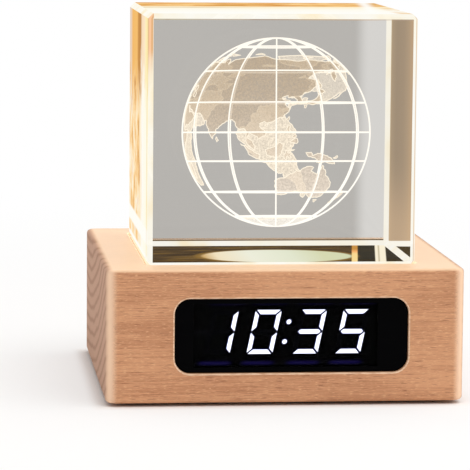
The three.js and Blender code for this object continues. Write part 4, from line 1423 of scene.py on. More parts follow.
def ring_recipe(steps: int = 128) -> Recipe:
    """The rings of a globe about the origin: upright great circles, and a level ring at each seed point."""
    recipe = Recipe("globe_rings")
    radius, circles = recipe.size("Radius"), recipe.size("Circles", "Int")
    facing, wire = Value(recipe, recipe.size("Facing")), recipe.size("Wire Radius")
    level = recipe.part("CurvePrimitiveCircle", Resolution=steps, Radius=1.0)
    upright = recipe.part("Transform", Geometry=level, Rotation=(QUARTER, 0.0, 0.0))
    fan = recipe.part("MeshLine", Count=circles, Offset=(0.0, 0.0, 0.0))
    share = recipe.number("GeometryNodeInputIndex") / Value(recipe, circles)
    angle = share * math.pi + facing
    meridians = recipe.copies(fan, upright, Rotation=recipe.about_z(angle), Scale=radius)
    where = recipe.part("InputPosition")
    height = Value(recipe, recipe.node("ShaderNodeSeparateXYZ", inputs={"Vector": where}).outputs[2])
    ball = Value(recipe, radius)
    reach = (ball * ball - height * height).most(0.0).root()
    both = recipe.node("GeometryNodeJoinGeometry")
    recipe.feed(both.inputs[0], meridians)
    recipe.feed(both.inputs[0], recipe.copies(recipe.seed, level, Scale=reach))
    real = recipe.part("RealizeInstances", Geometry=both.outputs[0])
    return recipe.deliver(recipe.tube(real, wire, capped=False))


@dataclass
class Housing:
    """The beech block, hollowed from below, with its seat, its window pocket and its panel pocket."""

    corner: float = 3.5 * MM
    edge: float = 1.2 * MM
    wall: float = 10 * MM
    hole_reach: float = 12 * MM
    cavity_corner: float = 8 * MM
    rebate_corner: float = 4 * MM
    ceiling: float = 5 * MM
    seat_corner: float = 1.6 * MM
    seat_clearance: float = 0.4 * MM
    light_hole: float = 24 * MM
    light_ledge: float = 26 * MM
    window_corner: float = 4.5 * MM
    rim: float = 0.45 * MM
    rim_steps: int = 4
    panel_plate: float = 2 * MM
    panel_corner: float = 3 * MM
    panel_ledge: float = 3 * MM

    def build(self) -> None:
        """Makes the block, cuts its hollows and marks the eased rims."""
        room = Room.of("wood_housing")
        made = stack("beech_housing", eased(
            drawn_in(room, self.corner, steps=12), room.low.z, room.high.z, self.edge, 6,
        ))
        carve(made, self._tools(room))
        polish(made, 30.0)
        # The seat's walls glow with painted light, standing in for light from the glass block.
        for finish in (Beech(), CutRim(), CutRim("beech_seat", glow=0.55)):
            made.data.materials.append(finish.build())
        self._mark_rims(made, room)
        dress(made, None, "beech", "base", "wood_housing")

    def _tools(self, room: Room) -> list[Piece]:
        """Everything that is cut out of the block."""
        cover, window, case = Room.of("bottom_cover"), Room.of("display_window"), Room.of("display_case")
        crystal, panel, lamp = Room.of("crystal_block"), Room.of("rear_panel"), Room.of("light_window")
        seat_floor = Room.of("crystal_pad").low.z - FACE_GAP
        under = seat_floor - self.ceiling
        below, above = room.low.z - OVERRUN, room.high.z + OVERRUN
        front, back = room.low.y, room.high.y
        inner = room.size.x - 2 * self.wall
        cavity = rounded(inner, inner, self.cavity_corner)
        rebate = rounded(cover.size.x + 2 * FIT_GAP, cover.size.y + 2 * FIT_GAP, self.rebate_corner)
        pocket = window.high.y + FACE_GAP
        plate = panel.high.y - self.panel_plate - FACE_GAP
        seat = drawn_in(crystal, self.seat_corner)
        mouth = drawn_in(window, self.window_corner, Along.Y)
        rear = drawn_in(panel, self.panel_corner, Along.Y)
        return [
            prism("cavity", cavity, below, under),
            prism("rebate", rebate, below, cover.high.z + FACE_GAP),
            stack("seat", self._mouth(seat, self.seat_clearance, seat_floor, room.high.z)),
            prism("light", disc(self.light_hole), under - OVERRUN, above),
            prism("ledge", disc(self.light_ledge), lamp.low.z - FACE_GAP, above),
            stack("pocket", self._mouth(mouth, 2 * FACE_GAP, pocket, front), Along.Y),
            self._hole("case", case, FIT_GAP, pocket - OVERRUN, front + self.hole_reach),
            stack("panel", self._mouth(rear, FIT_GAP, plate, back), Along.Y),
            self._hole("rear", panel, -self.panel_ledge, back - self.hole_reach, plate + OVERRUN),
        ]

    @staticmethod
    def _hole(name: str, room: Room, grow: float, low: float, high: float) -> Piece:
        """A square-cornered tool with a room's outline from the front, let out by a distance."""
        (width, height), middle = Along.Y.flat(room.size), Along.Y.flat(room.middle)
        return prism(name, rounded(width + 2 * grow, height + 2 * grow, 0.0, middle, 1), low, high, Along.Y)

    def _mouth(self, shape: Shape, gap: float, floor: float, face: float) -> list[Section]:
        """A pocket whose mouth is rounded over.

        Args:
            shape: gives the outline of what goes in, drawn in by a distance.
            gap: how much wider the pocket is on each side.
            floor: the level of its floor.
            face: the level of the face that it opens in.

        Returns:
            The sections of the tool that cuts it.
        """
        way = math.copysign(1.0, face - floor)
        rows = [(shape(-gap), floor)]
        for step in range(self.rim_steps + 1):
            angle = QUARTER * step / self.rim_steps
            grow = self.rim * (1 - math.cos(angle))
            rows.append((shape(-gap - grow), face - way * self.rim * (1 - math.sin(angle))))
        return rows + [(shape(-gap - self.rim), face + way * OVERRUN)]

    def _mark_rims(self, made: Piece, room: Room) -> None:
        """Gives the window's rounded mouth its paler finish, and the seat's walls painted light from the
        block.
        """
        window = Room.of("display_window")
        floor = Room.of("crystal_pad").low.z - 2 * FACE_GAP
        seat = Room.of("crystal_block").size.x / 2 + self.seat_clearance + self.rim
        for face in made.data.polygons:
            spot, way = face.center, face.normal
            front = spot.y < room.low.y + self.rim and abs(way.y) < 0.999
            near = abs(spot.x - window.middle.x) < window.size.x / 2 + 2 * self.rim
            level = abs(spot.z - window.middle.z) < window.size.z / 2 + 2 * self.rim
            if front and near and level:
                face.material_index = 1
            if max(abs(spot.x), abs(spot.y)) < seat and spot.z > floor and way.z < 0.99:
                face.material_index = 2


@dataclass
class GlassBlock:
    """The clear block with its chamfers."""

    chamfer: float = 1.5 * MM

    def build(self) -> None:
        """Makes the block as the hull of its corner points, and gives each kind of face its finish."""
        room = Room.of("crystal_block")
        shape = bmesh.new()
        for ways in product((-1, 1), repeat=3):
            for keep in range(3):
                inset = [0.0 if axis == keep else self.chamfer for axis in range(3)]
                offset = [way * (size / 2 - cut) for way, size, cut in zip(ways, room.size, inset)]
                shape.verts.new(room.middle + Vector(offset))
        bmesh.ops.convex_hull(shape, input=shape.verts)
        bmesh.ops.dissolve_limit(shape, angle_limit=math.radians(1), verts=shape.verts, edges=shape.edges)
        bmesh.ops.recalc_face_normals(shape, faces=shape.faces)
        made = formed("glass_block", shape)
        for kind in GlassFace:
            made.data.materials.append(CrystalFace(f"glass_{kind.name.lower()}", kind).build())
        for face in made.data.polygons:
            face.material_index = self._kind(face.normal).value
        made.visible_shadow = False
        dress(made, None, "clear_glass", "crystal", "crystal_block")

    @staticmethod
    def _kind(normal: Vector) -> GlassFace:
        """The kind of a face from the way it faces."""
        if abs(normal.z) > 0.99:
            return GlassFace.TOP if normal.z > 0 else GlassFace.FOOT
        return GlassFace.SIDE if max(abs(normal.x), abs(normal.y)) > 0.99 else GlassFace.CHAMFER


# Coastlines: a name and its places of longitude,latitude in degrees, drawn rough on purpose.
LANDS = """eurasia
-9,37 -9,43 -2,43.5 -1,46 -4.5,48.4 1,50 4,52 8,54 8,57 10.5,57.5 10,55 14,54 19,54.5 21,57 24,57.5
24,59.3 30,60 22,60.3 21.5,63 25,65 22,66 17,61.5 18.5,60 16,57 13,55.6 11,59 7,58 5,60 5.5,62.5 12,66
16,69 22,70.5 28,71 33,69.5 41,67.5 40,66.3 33,66.6 38,64.2 44,66 44,68.4 54,68.5 60,69 68,68.5 67,71
70,73 73,71 74,67 78,72.5 87,74 97,76 104,77.7 113,74 123,73 130,71.5 140,72.5 152,71 160,69.8 170,70
180,68.8 190,66 186,64.5 178,64.5 178,62.5 170,60 164,60 162,57.5 162.5,55.5 157,51 156,55 157,58 163,62
156,61 150,59.5 142,59 136,54.5 141,53 140.5,50 139,47 135,43.5 131.5,42.8 128,40 129.5,37 129,35.2
126.5,34.5 126.5,37.3 125,39.5 121.5,39 121.5,40.8 118,39 119,37.3 122.5,37 119.5,35 121.8,31.5
121.5,28.5 118.5,24.5 114,22.4 110,20.5 108.5,21.6 106,20 106,18 109,14.5 109,11.5 105,8.7 105,10.5
102.5,12 100.5,13.4 99.5,11 99.5,9.5 102.5,6 103.5,1.5 101,3 98.5,8 98.5,11 97.5,16.5 94.5,16 92,21
90.5,22.5 87,21.3 82,16.8 80,15 80,12 77.5,8 75,12 73,17 72.5,21 70,21 69,22.5 66.5,25.3 57,25.6 56,27
51,28 48.5,30 48.5,28.5 51,25 56.3,25.8 59.8,22.4 57,18.7 52,15.6 45,12.8 43,13.5 42.5,16.5 39,21
37,25.5 35,28 34.5,31.5 36,36 32,36.2 27.5,36.8 26.5,39 29,41 35,42 41.5,41.5 37,45 39,47 35,46
33.5,44.5 31,46.5 28,43 28.5,41.2 24,40.7 22.7,37.5 21,38.5 19.5,41.5 15,44.5 12.5,45.5 14,42.5 18.3,40
16.5,38.3 15.7,40 12.5,41.5 9,44.3 5,43.3 3,42 0,39.5 -2,36.8 -5.5,36

africa
-6,35.8 -2,35 3,36.8 10,37.3 11,33.5 15.5,32 20,31 20,32.8 25,31.7 32,31.2 32.6,29.8 35.5,24 37.3,21
39,16 43,12.2 44.5,10.5 51.2,11.8 49.5,6.5 43.5,0.5 40,-3 39,-7 40.6,-14.5 36.5,-19 35.3,-24 32.7,-26.5
31,-30 26.5,-33.8 20,-34.8 18.3,-33.5 17,-29 14.5,-22.5 12,-17 13.6,-12 12.2,-6 9,-1 9.6,3.8 8,4.5 5,5.9
-2,4.8 -8,4.5 -13,8.5 -17,14.7 -16.3,19 -17,21 -13,27.7 -9.8,30

australia
114,-22 114,-26 115.7,-32 115,-34.3 118,-35 124,-33 129,-31.6 134,-32.6 137.8,-33 137,-35.4 140,-38
144.5,-38.3 147,-38.7 150,-37.5 152.8,-31.5 153.5,-28 151,-24 146.3,-18.9 145.3,-15 142.5,-10.8
141.6,-14 140.8,-17.4 138,-16.6 135.5,-15 136.8,-12.2 132.5,-11.3 130.5,-12.5 129,-15 126.5,-14
122.3,-17.5 119,-20

north_america
-168,65.7 -163,69 -156.5,71.3 -141,69.7 -128,70 -115,68.3 -100,67.8 -94,71.5 -85,69.5 -82,67.5 -87,64.5
-94,60.5 -93,57 -87.5,56 -82.2,53 -79.7,51.3 -79,55 -76.8,57.5 -78,62.3 -71,61.2 -65,59.5 -61,56
-56,52.5 -60,50.2 -66,50 -65,48 -61,46 -66,44 -70,43.5 -70.2,41.8 -74,40.5 -75.7,37 -76,35 -81,31.5
-80,26.5 -81.2,25.3 -82.8,29 -85,29.8 -89.5,30 -94.5,29.5 -97.3,27.5 -97.7,22.5 -95,18.4 -91,18.7 -90,21
-87,21.3 -88.3,16 -83.3,15 -83.6,11 -80,9.2 -77.5,8.6 -78.3,7.3 -83,8.3 -86,11.5 -92,14.5 -96,15.7
-105.5,20.2 -109.5,25.5 -113,31.2 -114.8,31.6 -110.5,24 -112,25.5 -115,29.8 -117.2,32.8 -120.6,34.6
-123.8,39.5 -124.3,43 -124.5,48.2 -128,51 -134,57.5 -141,60 -148,60.7 -153,58.5 -158.5,56 -163,55
-158,58.6 -165,60.8 -161,64.5

south_america
-77.5,8.6 -75,11 -71.7,12.3 -66,10.6 -61.5,10.5 -57,6 -51.5,4.5 -50,0.5 -44.5,-2.6 -39,-3 -35,-5.5
-35.2,-9 -39,-13.5 -39.5,-18.5 -42,-22.8 -48.3,-26 -50.5,-31 -54,-34.5 -58,-34.3 -57,-37.8 -62,-39
-65,-42 -65.8,-46 -69,-50.5 -68.5,-52.5 -71,-54 -74.5,-51 -75,-46 -73,-41 -73.5,-37 -71.5,-30 -70.3,-20
-76,-14 -79.5,-7.5 -81.2,-4.8 -80,-1.5 -77.5,2.5 -77.5,6.5

greenland
-44,60 -40,65 -24,70 -20,75.5 -17,80 -32,83.5 -60,82 -72,78.5 -60,76 -54.5,72 -53.5,67 -50,62.5

honshu
130.9,34 132.5,35.5 136.8,37.3 139.5,40 140.3,41.3 141.8,39.5 140.7,36 138.5,34.7 135.8,33.6 133,34.3

hokkaido
140,42 141.7,45.4 145.3,43.5 143,42 141,41.8

kyushu
130,33.5 131.8,33.2 131,31.3 130.2,31.4

sakhalin
142.2,46 142.8,54 143.7,49.3 143.3,46.5

taiwan
120.2,23 121.6,25.2 120.9,22

hainan
108.8,19 110.8,20 109.8,18.3

luzon
120.3,16 120.7,18.5 122.2,18.3 121.7,15 124,13 123,13.8 120.7,13.8

mindanao
122,7 123.5,8.6 125.6,9.7 126.3,7 125.4,5.8 124,6.5

visayas
123,10.8 124.8,12.3 125.5,11 124,10

borneo
109,1.5 111.4,2.6 115,5.2 117,7 119,5.2 117.8,1 116.3,-3.8 113,-3.3 110.2,-2.8

sumatra
95.4,5.6 98.5,4 103.5,-0.8 106,-3 105.8,-5.8 102.3,-4 98.7,1.7

java
105.2,-6.6 108.5,-6.7 114.4,-7.7 114.4,-8.7 108,-7.8

sulawesi
119.5,-5.5 118.9,-2.8 120,0.8 124.8,1.6 121,0.5 121.3,-1 123.3,-1 122.3,-4.8 120.8,-3 120.4,-5.6

new_guinea
131,-0.8 134.2,-0.8 135,-3.3 138,-1.7 144.5,-3.8 147.8,-6.2 150.8,-10.4 147,-9.6 143.5,-8.3 141,-9.1
138,-8.3 138.5,-6.8 133,-4 132,-2.8

new_britain
148.5,-5.7 151.5,-4.2 152,-5.3 150,-6.2

ceylon
79.8,8 80.3,9.7 81.8,7.3 80.5,6

madagascar
44,-25 43.5,-21.5 44.5,-16.2 49.3,-12 50.3,-15.8 47.2,-24.9

new_zealand_north
172.8,-34.5 175.5,-37 178.4,-37.8 176.8,-40 175,-41.5 173.9,-39.2

new_zealand_south
172.7,-40.6 174.2,-41.7 171,-44.5 168.7,-46.5 166.5,-46 170,-43

tasmania
144.8,-40.8 148.2,-41 146.8,-43.5

britain
-5,50.2 1,51.2 0,53.5 -3,55.8 -2,57.6 -5,58.5 -5.7,56 -3,54 -4.5,52.5

ireland
-9.8,52 -6.3,52.3 -6,54.5 -9.8,54.2

iceland
-22.5,64 -14,64.8 -16,66.4 -24,65.8

baffin
-64,65 -61.5,67 -72,71 -80,73.5 -88,73.5 -85,70 -73,68 -73,64.5 -66,62.3

victoria
-116,69 -105,69 -106,73 -117,73

ellesmere
-90,76.5 -78,76.5 -62,82.5 -80,83 -92,81

cuba
-84.8,22 -80,23 -74.3,20.2 -78,19.9 -80,21.6

hispaniola
-74.4,18.5 -72.8,19.9 -68.4,18.7 -71,18

newfoundland
-59.3,47.8 -55.7,51.5 -53,47 -56,46.9

novaya_zemlya
52,71 56,74.5 68,76.8 60,75 55.5,72

severnaya_zemlya
95,79 104,79.5 100,80.8

svalbard
12,79 25,80.3 18,77

new_siberia
138,74 150,75 142,76"""
CASPIAN = "47,45 51,46.5 53,45 51,42 54,40 53.5,37 50,37.3 49.5,40.5 47.5,43"
# Which segments of a digit are lit, by their usual letters.
LIT = {"0": "abcdef", "1": "bc", "3": "abcdg", "5": "acdfg"}


def sides(outline: Outline) -> list[tuple[Pair, Pair]]:
    """The two ends of each side of an outline."""
    return list(zip(outline, outline[1:] + outline[:1]))


def area(outline: Outline) -> float:
    """Twice an outline's area, below 0 where it runs clockwise."""
    return sum(a[0] * b[1] - b[0] * a[1] for a, b in sides(outline))


@dataclass
class Globe:
    """The globe engraved in the glass: its rings, its frosted lands and their coasts.

    Angles are in degrees, and parallels are heights as shares of the radius. The lands are drawn wider in
    front than behind, squeezed in height, set lower in front, and behind slanted so that the south swings
    round: the back's three numbers go with 1, the latitude, and its excess over bend_from.
    """

    reach: float = 28.9 * MM
    front_longitude: float = 114.7
    stretch: float = 0.16
    squeeze: float = 0.85
    drop: float = 7.0
    lean: float = 5.0
    back_turn: Triple = (3.2, 0.42, -1.46)
    back_rise: Triple = (8.9, 0.113, -0.444)
    bend_from: float = 12.0
    tilt: float = 3.4
    turned: float = 4.5
    circles: int = 6
    parallels: tuple[float, ...] = (0.905, 0.645, 0.314, 0.0, -0.306, -0.633, -0.893)
    line: float = 0.22 * MM
    rim_line: float = 0.25 * MM
    coast_line: float = 0.15 * MM
    land_depth: float = 0.6 * MM
    land_thickness: float = 0.15 * MM
    grid: float = 4.0
    crinkle: float = 0.16
    crinkle_rounds: int = 3
    least_edge: float = 1.2
    cap_rise: float = -67.0
    cap_step: int = 6
    cap_rows: int = 6
    chance_seed: int = 11

    def __post_init__(self) -> None:
        """Takes the globe's place from the frame, and fixes its random draws."""
        room = Room.of("engraved_globe")
        self.middle = Vector((room.middle.x, room.middle.y, room.low.z + self.reach))
        self.axis = Matrix.Rotation(math.radians(-self.tilt), 4, "X")
        self.chance = random.Random(self.chance_seed)

    def build(self) -> None:
        """Makes the rings, the lands, the coasts and the bright southern cap."""
        bright = EngravedLine("engraved_line", (255, 253, 248), 1.7).build()
        coast = EngravedLine("engraved_coast", (255, 246, 228), 1.55).build()
        white = (255, 252, 246)
        facing = 90.0 - self.turned
        self._dress(self._rings("globe_rings", self.circles, facing, self.line, self.parallels, bright))
        self._dress(self._rings("globe_rim", 1, -self.turned, self.rim_line, (), bright))
        lands = [self._coast(words) for words in LANDS.split("\n\n")]
        self._dress(self._shell("globe_lands", lands), FrostedLand().build())
        cap = self._cap_edge()
        lines = [[self._place(*place) for place in line] for line in [*lands, self._coast(CASPIAN), cap]]
        seeds = edge_mesh("globe_coasts", lines, closed=True)
        sizes = {"Radius": self.coast_line, "Sides": 5}
        self._dress(tube_recipe().make("globe_coasts", seeds, coast, sizes))
        frost = FrostedLand("polar_frost", white, white, white, cover=0.95, strength=1.6).build()
        self._dress(self._cap("globe_south_cap", cap), frost)

    def _dress(self, made: Piece, material: Material | None = None) -> None:
        """Lets light through the engraving and dresses it."""
        made.visible_shadow = False
        dress(made, material, "engraved_glass", "crystal", "engraved_globe")

    def _rings(
        self, name: str, circles: int, facing: float, line: float, levels: tuple[float, ...], finish: Material
    ) -> Piece:
        """Rings that lean over with the globe's axis.

        Args:
            name: the piece's name.
            circles: how many upright great circles it has.
            facing: which way the first one faces.
            line: the radius of the line.
            levels: the heights of the level rings.
            finish: the material.

        Returns:
            The rings.
        """
        radius = self.reach - line
        seeds = edge_mesh(name, [[(0.0, 0.0, share * radius)] for share in levels])
        sizes = {"Radius": radius, "Circles": circles, "Facing": math.radians(facing), "Wire Radius": line}
        made = ring_recipe().make(name, seeds, finish, sizes)
        made.data.transform(Matrix.Translation(self.middle) @ self.axis)
        return made

    def _coast(self, words: str) -> Outline:
        """A land's outline, from the places in its text, which may start with its name."""
        places = [place.split(",") for place in words.split() if "," in place]
        outline = [(float(longitude), float(latitude)) for longitude, latitude in places]
        return [self._drawn(*place) for place in self._crinkled(outline)]

    def _drawn(self, longitude: float, latitude: float) -> Pair:
        """A place as the engraving has it.

        Args:
            longitude: its longitude.
            latitude: its latitude.

        Returns:
            How far it is turned from the globe's front, and how far it rises over its middle.
        """
        turn = math.radians(longitude - self.front_longitude)
        behind = ((1.0 - math.cos(turn)) / 2) ** 2
        terms = (1.0, latitude, max(latitude - self.bend_from, 0.0))
        swing, lift = (
            behind * sum(share * term for share, term in zip(shares, terms))
            for shares in (self.back_turn, self.back_rise)
        )
        rise = self.squeeze * latitude - self.drop - self.lean * math.cos(turn)
        return math.degrees(turn + self.stretch * math.sin(turn)) + swing, rise + lift

    def _place(self, turn: float, rise: float) -> Vector:
        """A drawn place on the lands' outer surface."""
        turn, rise = math.radians(turn - self.turned), math.radians(rise)
        flat = Vector((math.cos(rise) * math.sin(turn), -math.cos(rise) * math.cos(turn), math.sin(rise)))
        return self.middle + self.axis @ flat * (self.reach - self.land_depth)

    def _crinkled(self, outline: Outline) -> Outline:
        """A coast that runs anticlockwise, with its long edges broken at random, time after time."""
        if area(outline) < 0:
            outline = outline[::-1]
        for _ in range(self.crinkle_rounds):
            finer = []
            for first, second in sides(outline):
                finer.append(first)
                east, north = second[0] - first[0], second[1] - first[1]
                east *= math.cos(math.radians((first[1] + second[1]) / 2))
                if math.hypot(east, north) > self.least_edge:
                    push = self.chance.uniform(-self.crinkle, self.crinkle)
                    middle = (first[0] + second[0]) / 2, (first[1] + second[1]) / 2
                    finer.append((middle[0] - north * push, middle[1] + east * push))
            outline = finer
        return outline

    def _grid(self, outline: Outline) -> Outline:
        """Points of an even grid that lie inside an outline."""
        (west, south), (east, north) = (tuple(map(way, zip(*outline))) for way in (min, max))
        found = []
        for row in range(int((north - south) / self.grid) + 1):
            rise = south + (row + 0.5) * self.grid
            step = self.grid / max(math.cos(math.radians(rise)), 0.1)
            places = [(west + (column + 0.5) * step, rise) for column in range(int((east - west) / step) + 1)]
            found += [place for place in places if self._inside(*place, outline)]
        return found

    @staticmethod
    def _inside(turn: float, rise: float, outline: Outline) -> bool:
        """Whether a place lies inside an outline, by the crossings to its east."""
        crossings = 0
        for first, second in sides(outline):
            if (first[1] > rise) != (second[1] > rise):
                share = (rise - first[1]) / (second[1] - first[1])
                crossings += turn < first[0] + share * (second[0] - first[0])
        return crossings % 2 == 1

    def _shell(self, name: str, outlines: list[Outline]) -> Piece:
        """Thin curved sheets of frost inside the outlines."""
        points, faces = [], []
        for outline in outlines:
            flat = [Vector(point) for point in outline + self._grid(outline)]
            made = delaunay_2d_cdt(flat, [], [list(range(len(outline)))], 1, 1e-5, False)
            for face in made[2]:
                middle = sum((made[0][index] for index in face), Vector((0.0, 0.0))) / len(face)
                if self._inside(*middle, outline):
                    faces.append([len(points) + index for index in face])
            points += [self._place(*point) for point in made[0]]
        return self._thicken(solid(name, points, faces))

    def _thicken(self, made: Piece) -> Piece:
        """Gives a sheet its thickness, inwards from its outer face."""
        if sum(face.normal.dot(face.center - self.middle) for face in made.data.polygons) < 0:
            made.data.flip_normals()
        step = made.modifiers.new("thickness", "SOLIDIFY")
        step.thickness = self.land_thickness
        step.offset = -1.0
        bake(made)
        return made

    def _cap_edge(self) -> Outline:
        """The wavy coast round the southern cap."""
        edge = []
        for turn in range(0, 360, self.cap_step):
            wave = self.chance.uniform(-1.0, 1.0) + math.sin(math.radians(3 * turn))
            edge.append((float(turn), self.cap_rise + wave))
        return edge

    def _cap(self, name: str, edge: Outline) -> Piece:
        """The sheet of frost from the cap's coast to the pole."""
        pole, count = -90.0, len(edge)
        points = [self._place(0.0, pole)]
        for row in range(self.cap_rows):
            share = row / self.cap_rows
            points += [self._place(turn, rise + share * (pole - rise)) for turn, rise in edge]
        last = len(points) - count
        fan = [[last + index, last + (index + 1) % count, 0] for index in range(count)]
        return self._thicken(solid(name, points, rows_between(1, self.cap_rows, count) + fan))


@dataclass
class Display:
    """The smoked window, and behind it the black face, the digits and the colon."""

    time: str = "1035"
    inset: float = 0.7 * MM
    thickness: float = 1.22 * MM
    upright: float = 1.15 * MM
    gap: float = 0.6 * MM
    tip: float = 0.3 * MM
    slope: float = 0.21
    colon_rise: float = 2.95 * MM
    colon_radius: float = 0.65 * MM
    margin: float = 0.22 * MM
    lens_depth: float = 0.2 * MM
    face_depth: float = 3 * MM
    face_corner: float = 0.6 * MM
    face_edge: float = 0.2 * MM
    frame_wall: Pair = (1.5 * MM, 1 * MM)
    frame_corner: float = 0.5 * MM
    window_corner: float = 4.4 * MM
    window_edge: float = 0.25 * MM

    def build(self) -> None:
        """Makes the window, the face with its holes, the four digits and the colon."""
        self._window()
        glowing = LitSegment("lit_segment", (246, 250, 255), 9.0).build()
        halo = LitSegment("segment_halo", (46, 44, 190), 1.2).build()
        dark = LitSegment("dark_segment", (20, 18, 40), 0.02).build()
        holes = []
        for place, character in enumerate(self.time, start=1):
            node = f"digit_{place}"
            exact, wider, hole = (self._segments(node, grow) for grow in self._reaches())
            pieces = []
            for letter in exact:
                finishes = (glowing, halo) if letter in LIT[character] else (dark, dark)
                pieces += self._bars(node, exact[letter], wider[letter], *finishes)
            pieces.append(self._backing(node, dark))
            holes += [self._hole(node, outline) for outline in hole.values()]
            dress(merged(f"digit_{place}_segments", pieces), None, "digit_resin", "base", node)
        exact, wider, hole = (self._dots(grow) for grow in self._reaches())
        dots = [self._backing("colon", dark)]
        for pair in zip(exact, wider):
            dots += self._bars("colon", *pair, glowing, halo)
        dress(merged("colon_dots", dots), None, "digit_resin", "base", "colon")
        self._face(holes + [self._hole("colon", outline) for outline in hole])

    def _reaches(self) -> Triple:
        """How far a lens, the body behind it and its hole are let out."""
        return 0.0, self.margin - FACE_GAP, self.margin

    def _window(self) -> None:
        """The smoked plate with its polished edge."""
        room = Room.of("display_window")
        shape = drawn_in(room, self.window_corner, Along.Y)
        made = stack("smoked_window", eased(shape, room.low.y, room.high.y, self.window_edge, 3), Along.Y)
        polish(made)
        dress(made, SmokedAcrylic().build(), "smoked_window", "base", "display_window")

    def _segments(self, node: str, grow: float) -> dict[str, Outline]:
        """The outlines of a digit's seven segments, by their usual letters.

        Args:
            node: the digit's CAD node.
            grow: how far they are let out.

        Returns:
            An outline for each letter.
        """
        room = Room.of(node)
        wide = (Room.of("digit_4").size.x - self.slope * room.size.z) / 2 - self.inset
        tall = room.size.z / 2 - self.inset
        thick, upright, tip = self.thickness, self.upright, self.tip
        mitre = self.gap / math.sqrt(2)
        top = [
            (mitre - wide, tall), (wide - mitre, tall),
            (wide - thick - mitre, tall - thick), (thick + mitre - wide, tall - thick),
        ]
        right = [
            (wide, tip), (wide, tall - mitre), (wide - upright, tall - upright - mitre),
            (wide - upright, tip + upright),
        ]
        point = wide + tip - self.gap * math.sqrt(2)
        half = thick / 2
        middle = [
            (-point, 0.0), (half - point, -half), (point - half, -half),
            (point, 0.0), (point - half, half), (half - point, half),
        ]

        def turned(outline: Outline, side: int, rise: int) -> Outline:
            """An outline mirrored across or up, still anticlockwise."""
            points = [(side * across, rise * up) for across, up in outline]
            return points if side * rise > 0 else points[::-1]

        shapes = {
            "a": top, "b": right, "c": turned(right, 1, -1), "d": turned(top, 1, -1),
            "e": turned(right, -1, -1), "f": turned(right, -1, 1), "g": middle,
        }
        return {letter: self._leant(self._grown(shape, grow), room) for letter, shape in shapes.items()}

    @staticmethod
    def _grown(outline: Outline, grow: float) -> Outline:
        """An outline with its sides moved outwards by a distance, and its sharp corners by less."""
        way = math.copysign(grow, area(outline))
        points = []
        for index, place in enumerate(outline):
            here = Vector(place)
            before = (here - Vector(outline[index - 1])).normalized()
            after = (Vector(outline[(index + 1) % len(outline)]) - here).normalized()
            first, second = Vector((before.y, -before.x)), Vector((after.y, -after.x))
            reach = way / max(1.0 + first.dot(second), 0.8)
            points.append(tuple(here + (first + second) * reach))
        return points

    def _leant(self, outline: Outline, room: Room) -> Outline:
        """An outline leant over with its height, about the middle of its node."""
        middle = room.middle
        return [(middle.x + across + self.slope * up, middle.z + up) for across, up in outline]

    def _dots(self, grow: float) -> list[Outline]:
        """The outlines of the colon's two dots."""
        room, radius = Room.of("colon"), self.colon_radius + grow
        return [self._leant(disc(radius, (0.0, way * self.colon_rise), 32), room) for way in (1, -1)]

    def _bars(
        self, node: str, outline: Outline, wider: Outline, face: Material, body: Material
    ) -> list[Piece]:
        """A segment's lens in the face, and the wider body behind it."""
        front = Room.of(node).low.y
        middle = front + self.lens_depth
        lens = prism("lens", outline, front, middle, Along.Y)
        core = prism("core", wider, middle + FACE_GAP, front + self.face_depth, Along.Y)
        lens.data.materials.append(face)
        core.data.materials.append(body)
        return [lens, core]

    def _hole(self, node: str, outline: Outline) -> Piece:
        """The tool for a segment's hole in the face."""
        front = Room.of(node).low.y
        return prism("segment_hole", outline, front - OVERRUN, front + self.face_depth - FACE_GAP, Along.Y)

    def _backing(self, node: str, dark: Material) -> Piece:
        """The dark plate that carries a digit's segments."""
        room = Room.of(node)
        wide, tall = (room.size.x - self.slope * room.size.z) / 2, room.size.z / 2
        outline = self._leant([(-wide, -tall), (wide, -tall), (wide, tall), (-wide, tall)], room)
        front = room.low.y + self.face_depth + FACE_GAP
        made = prism(f"{node}_backing", outline, front, room.high.y, Along.Y)
        made.data.materials.append(dark)
        return made

    def _face(self, holes: list[Piece]) -> None:
        """The black face with a hole for each segment, and the frame behind it."""
        room = Room.of("display_case")
        shape = drawn_in(room, self.face_corner, Along.Y, 3)
        back = room.low.y + self.face_depth
        made = stack("display_face", eased(shape, room.low.y, back - FACE_GAP, self.face_edge, 2), Along.Y)
        carve(made, [merged("segment_holes", holes)])
        frame = prism("display_frame", shape(0.0), back, room.high.y, Along.Y)
        (width, height), (side, rise) = Along.Y.flat(room.size), self.frame_wall
        middle = Along.Y.flat(room.middle)
        inner = rounded(width - 2 * side, height - 2 * rise, self.frame_corner, middle, 3)
        carve(frame, [prism("frame_hole", inner, back - OVERRUN, room.high.y + OVERRUN, Along.Y)])
        both = merged("display_face_and_frame", [made, frame])
        polish(both)
        dress(both, DisplayFace().build(), "black_plastic", "base", "display_case")


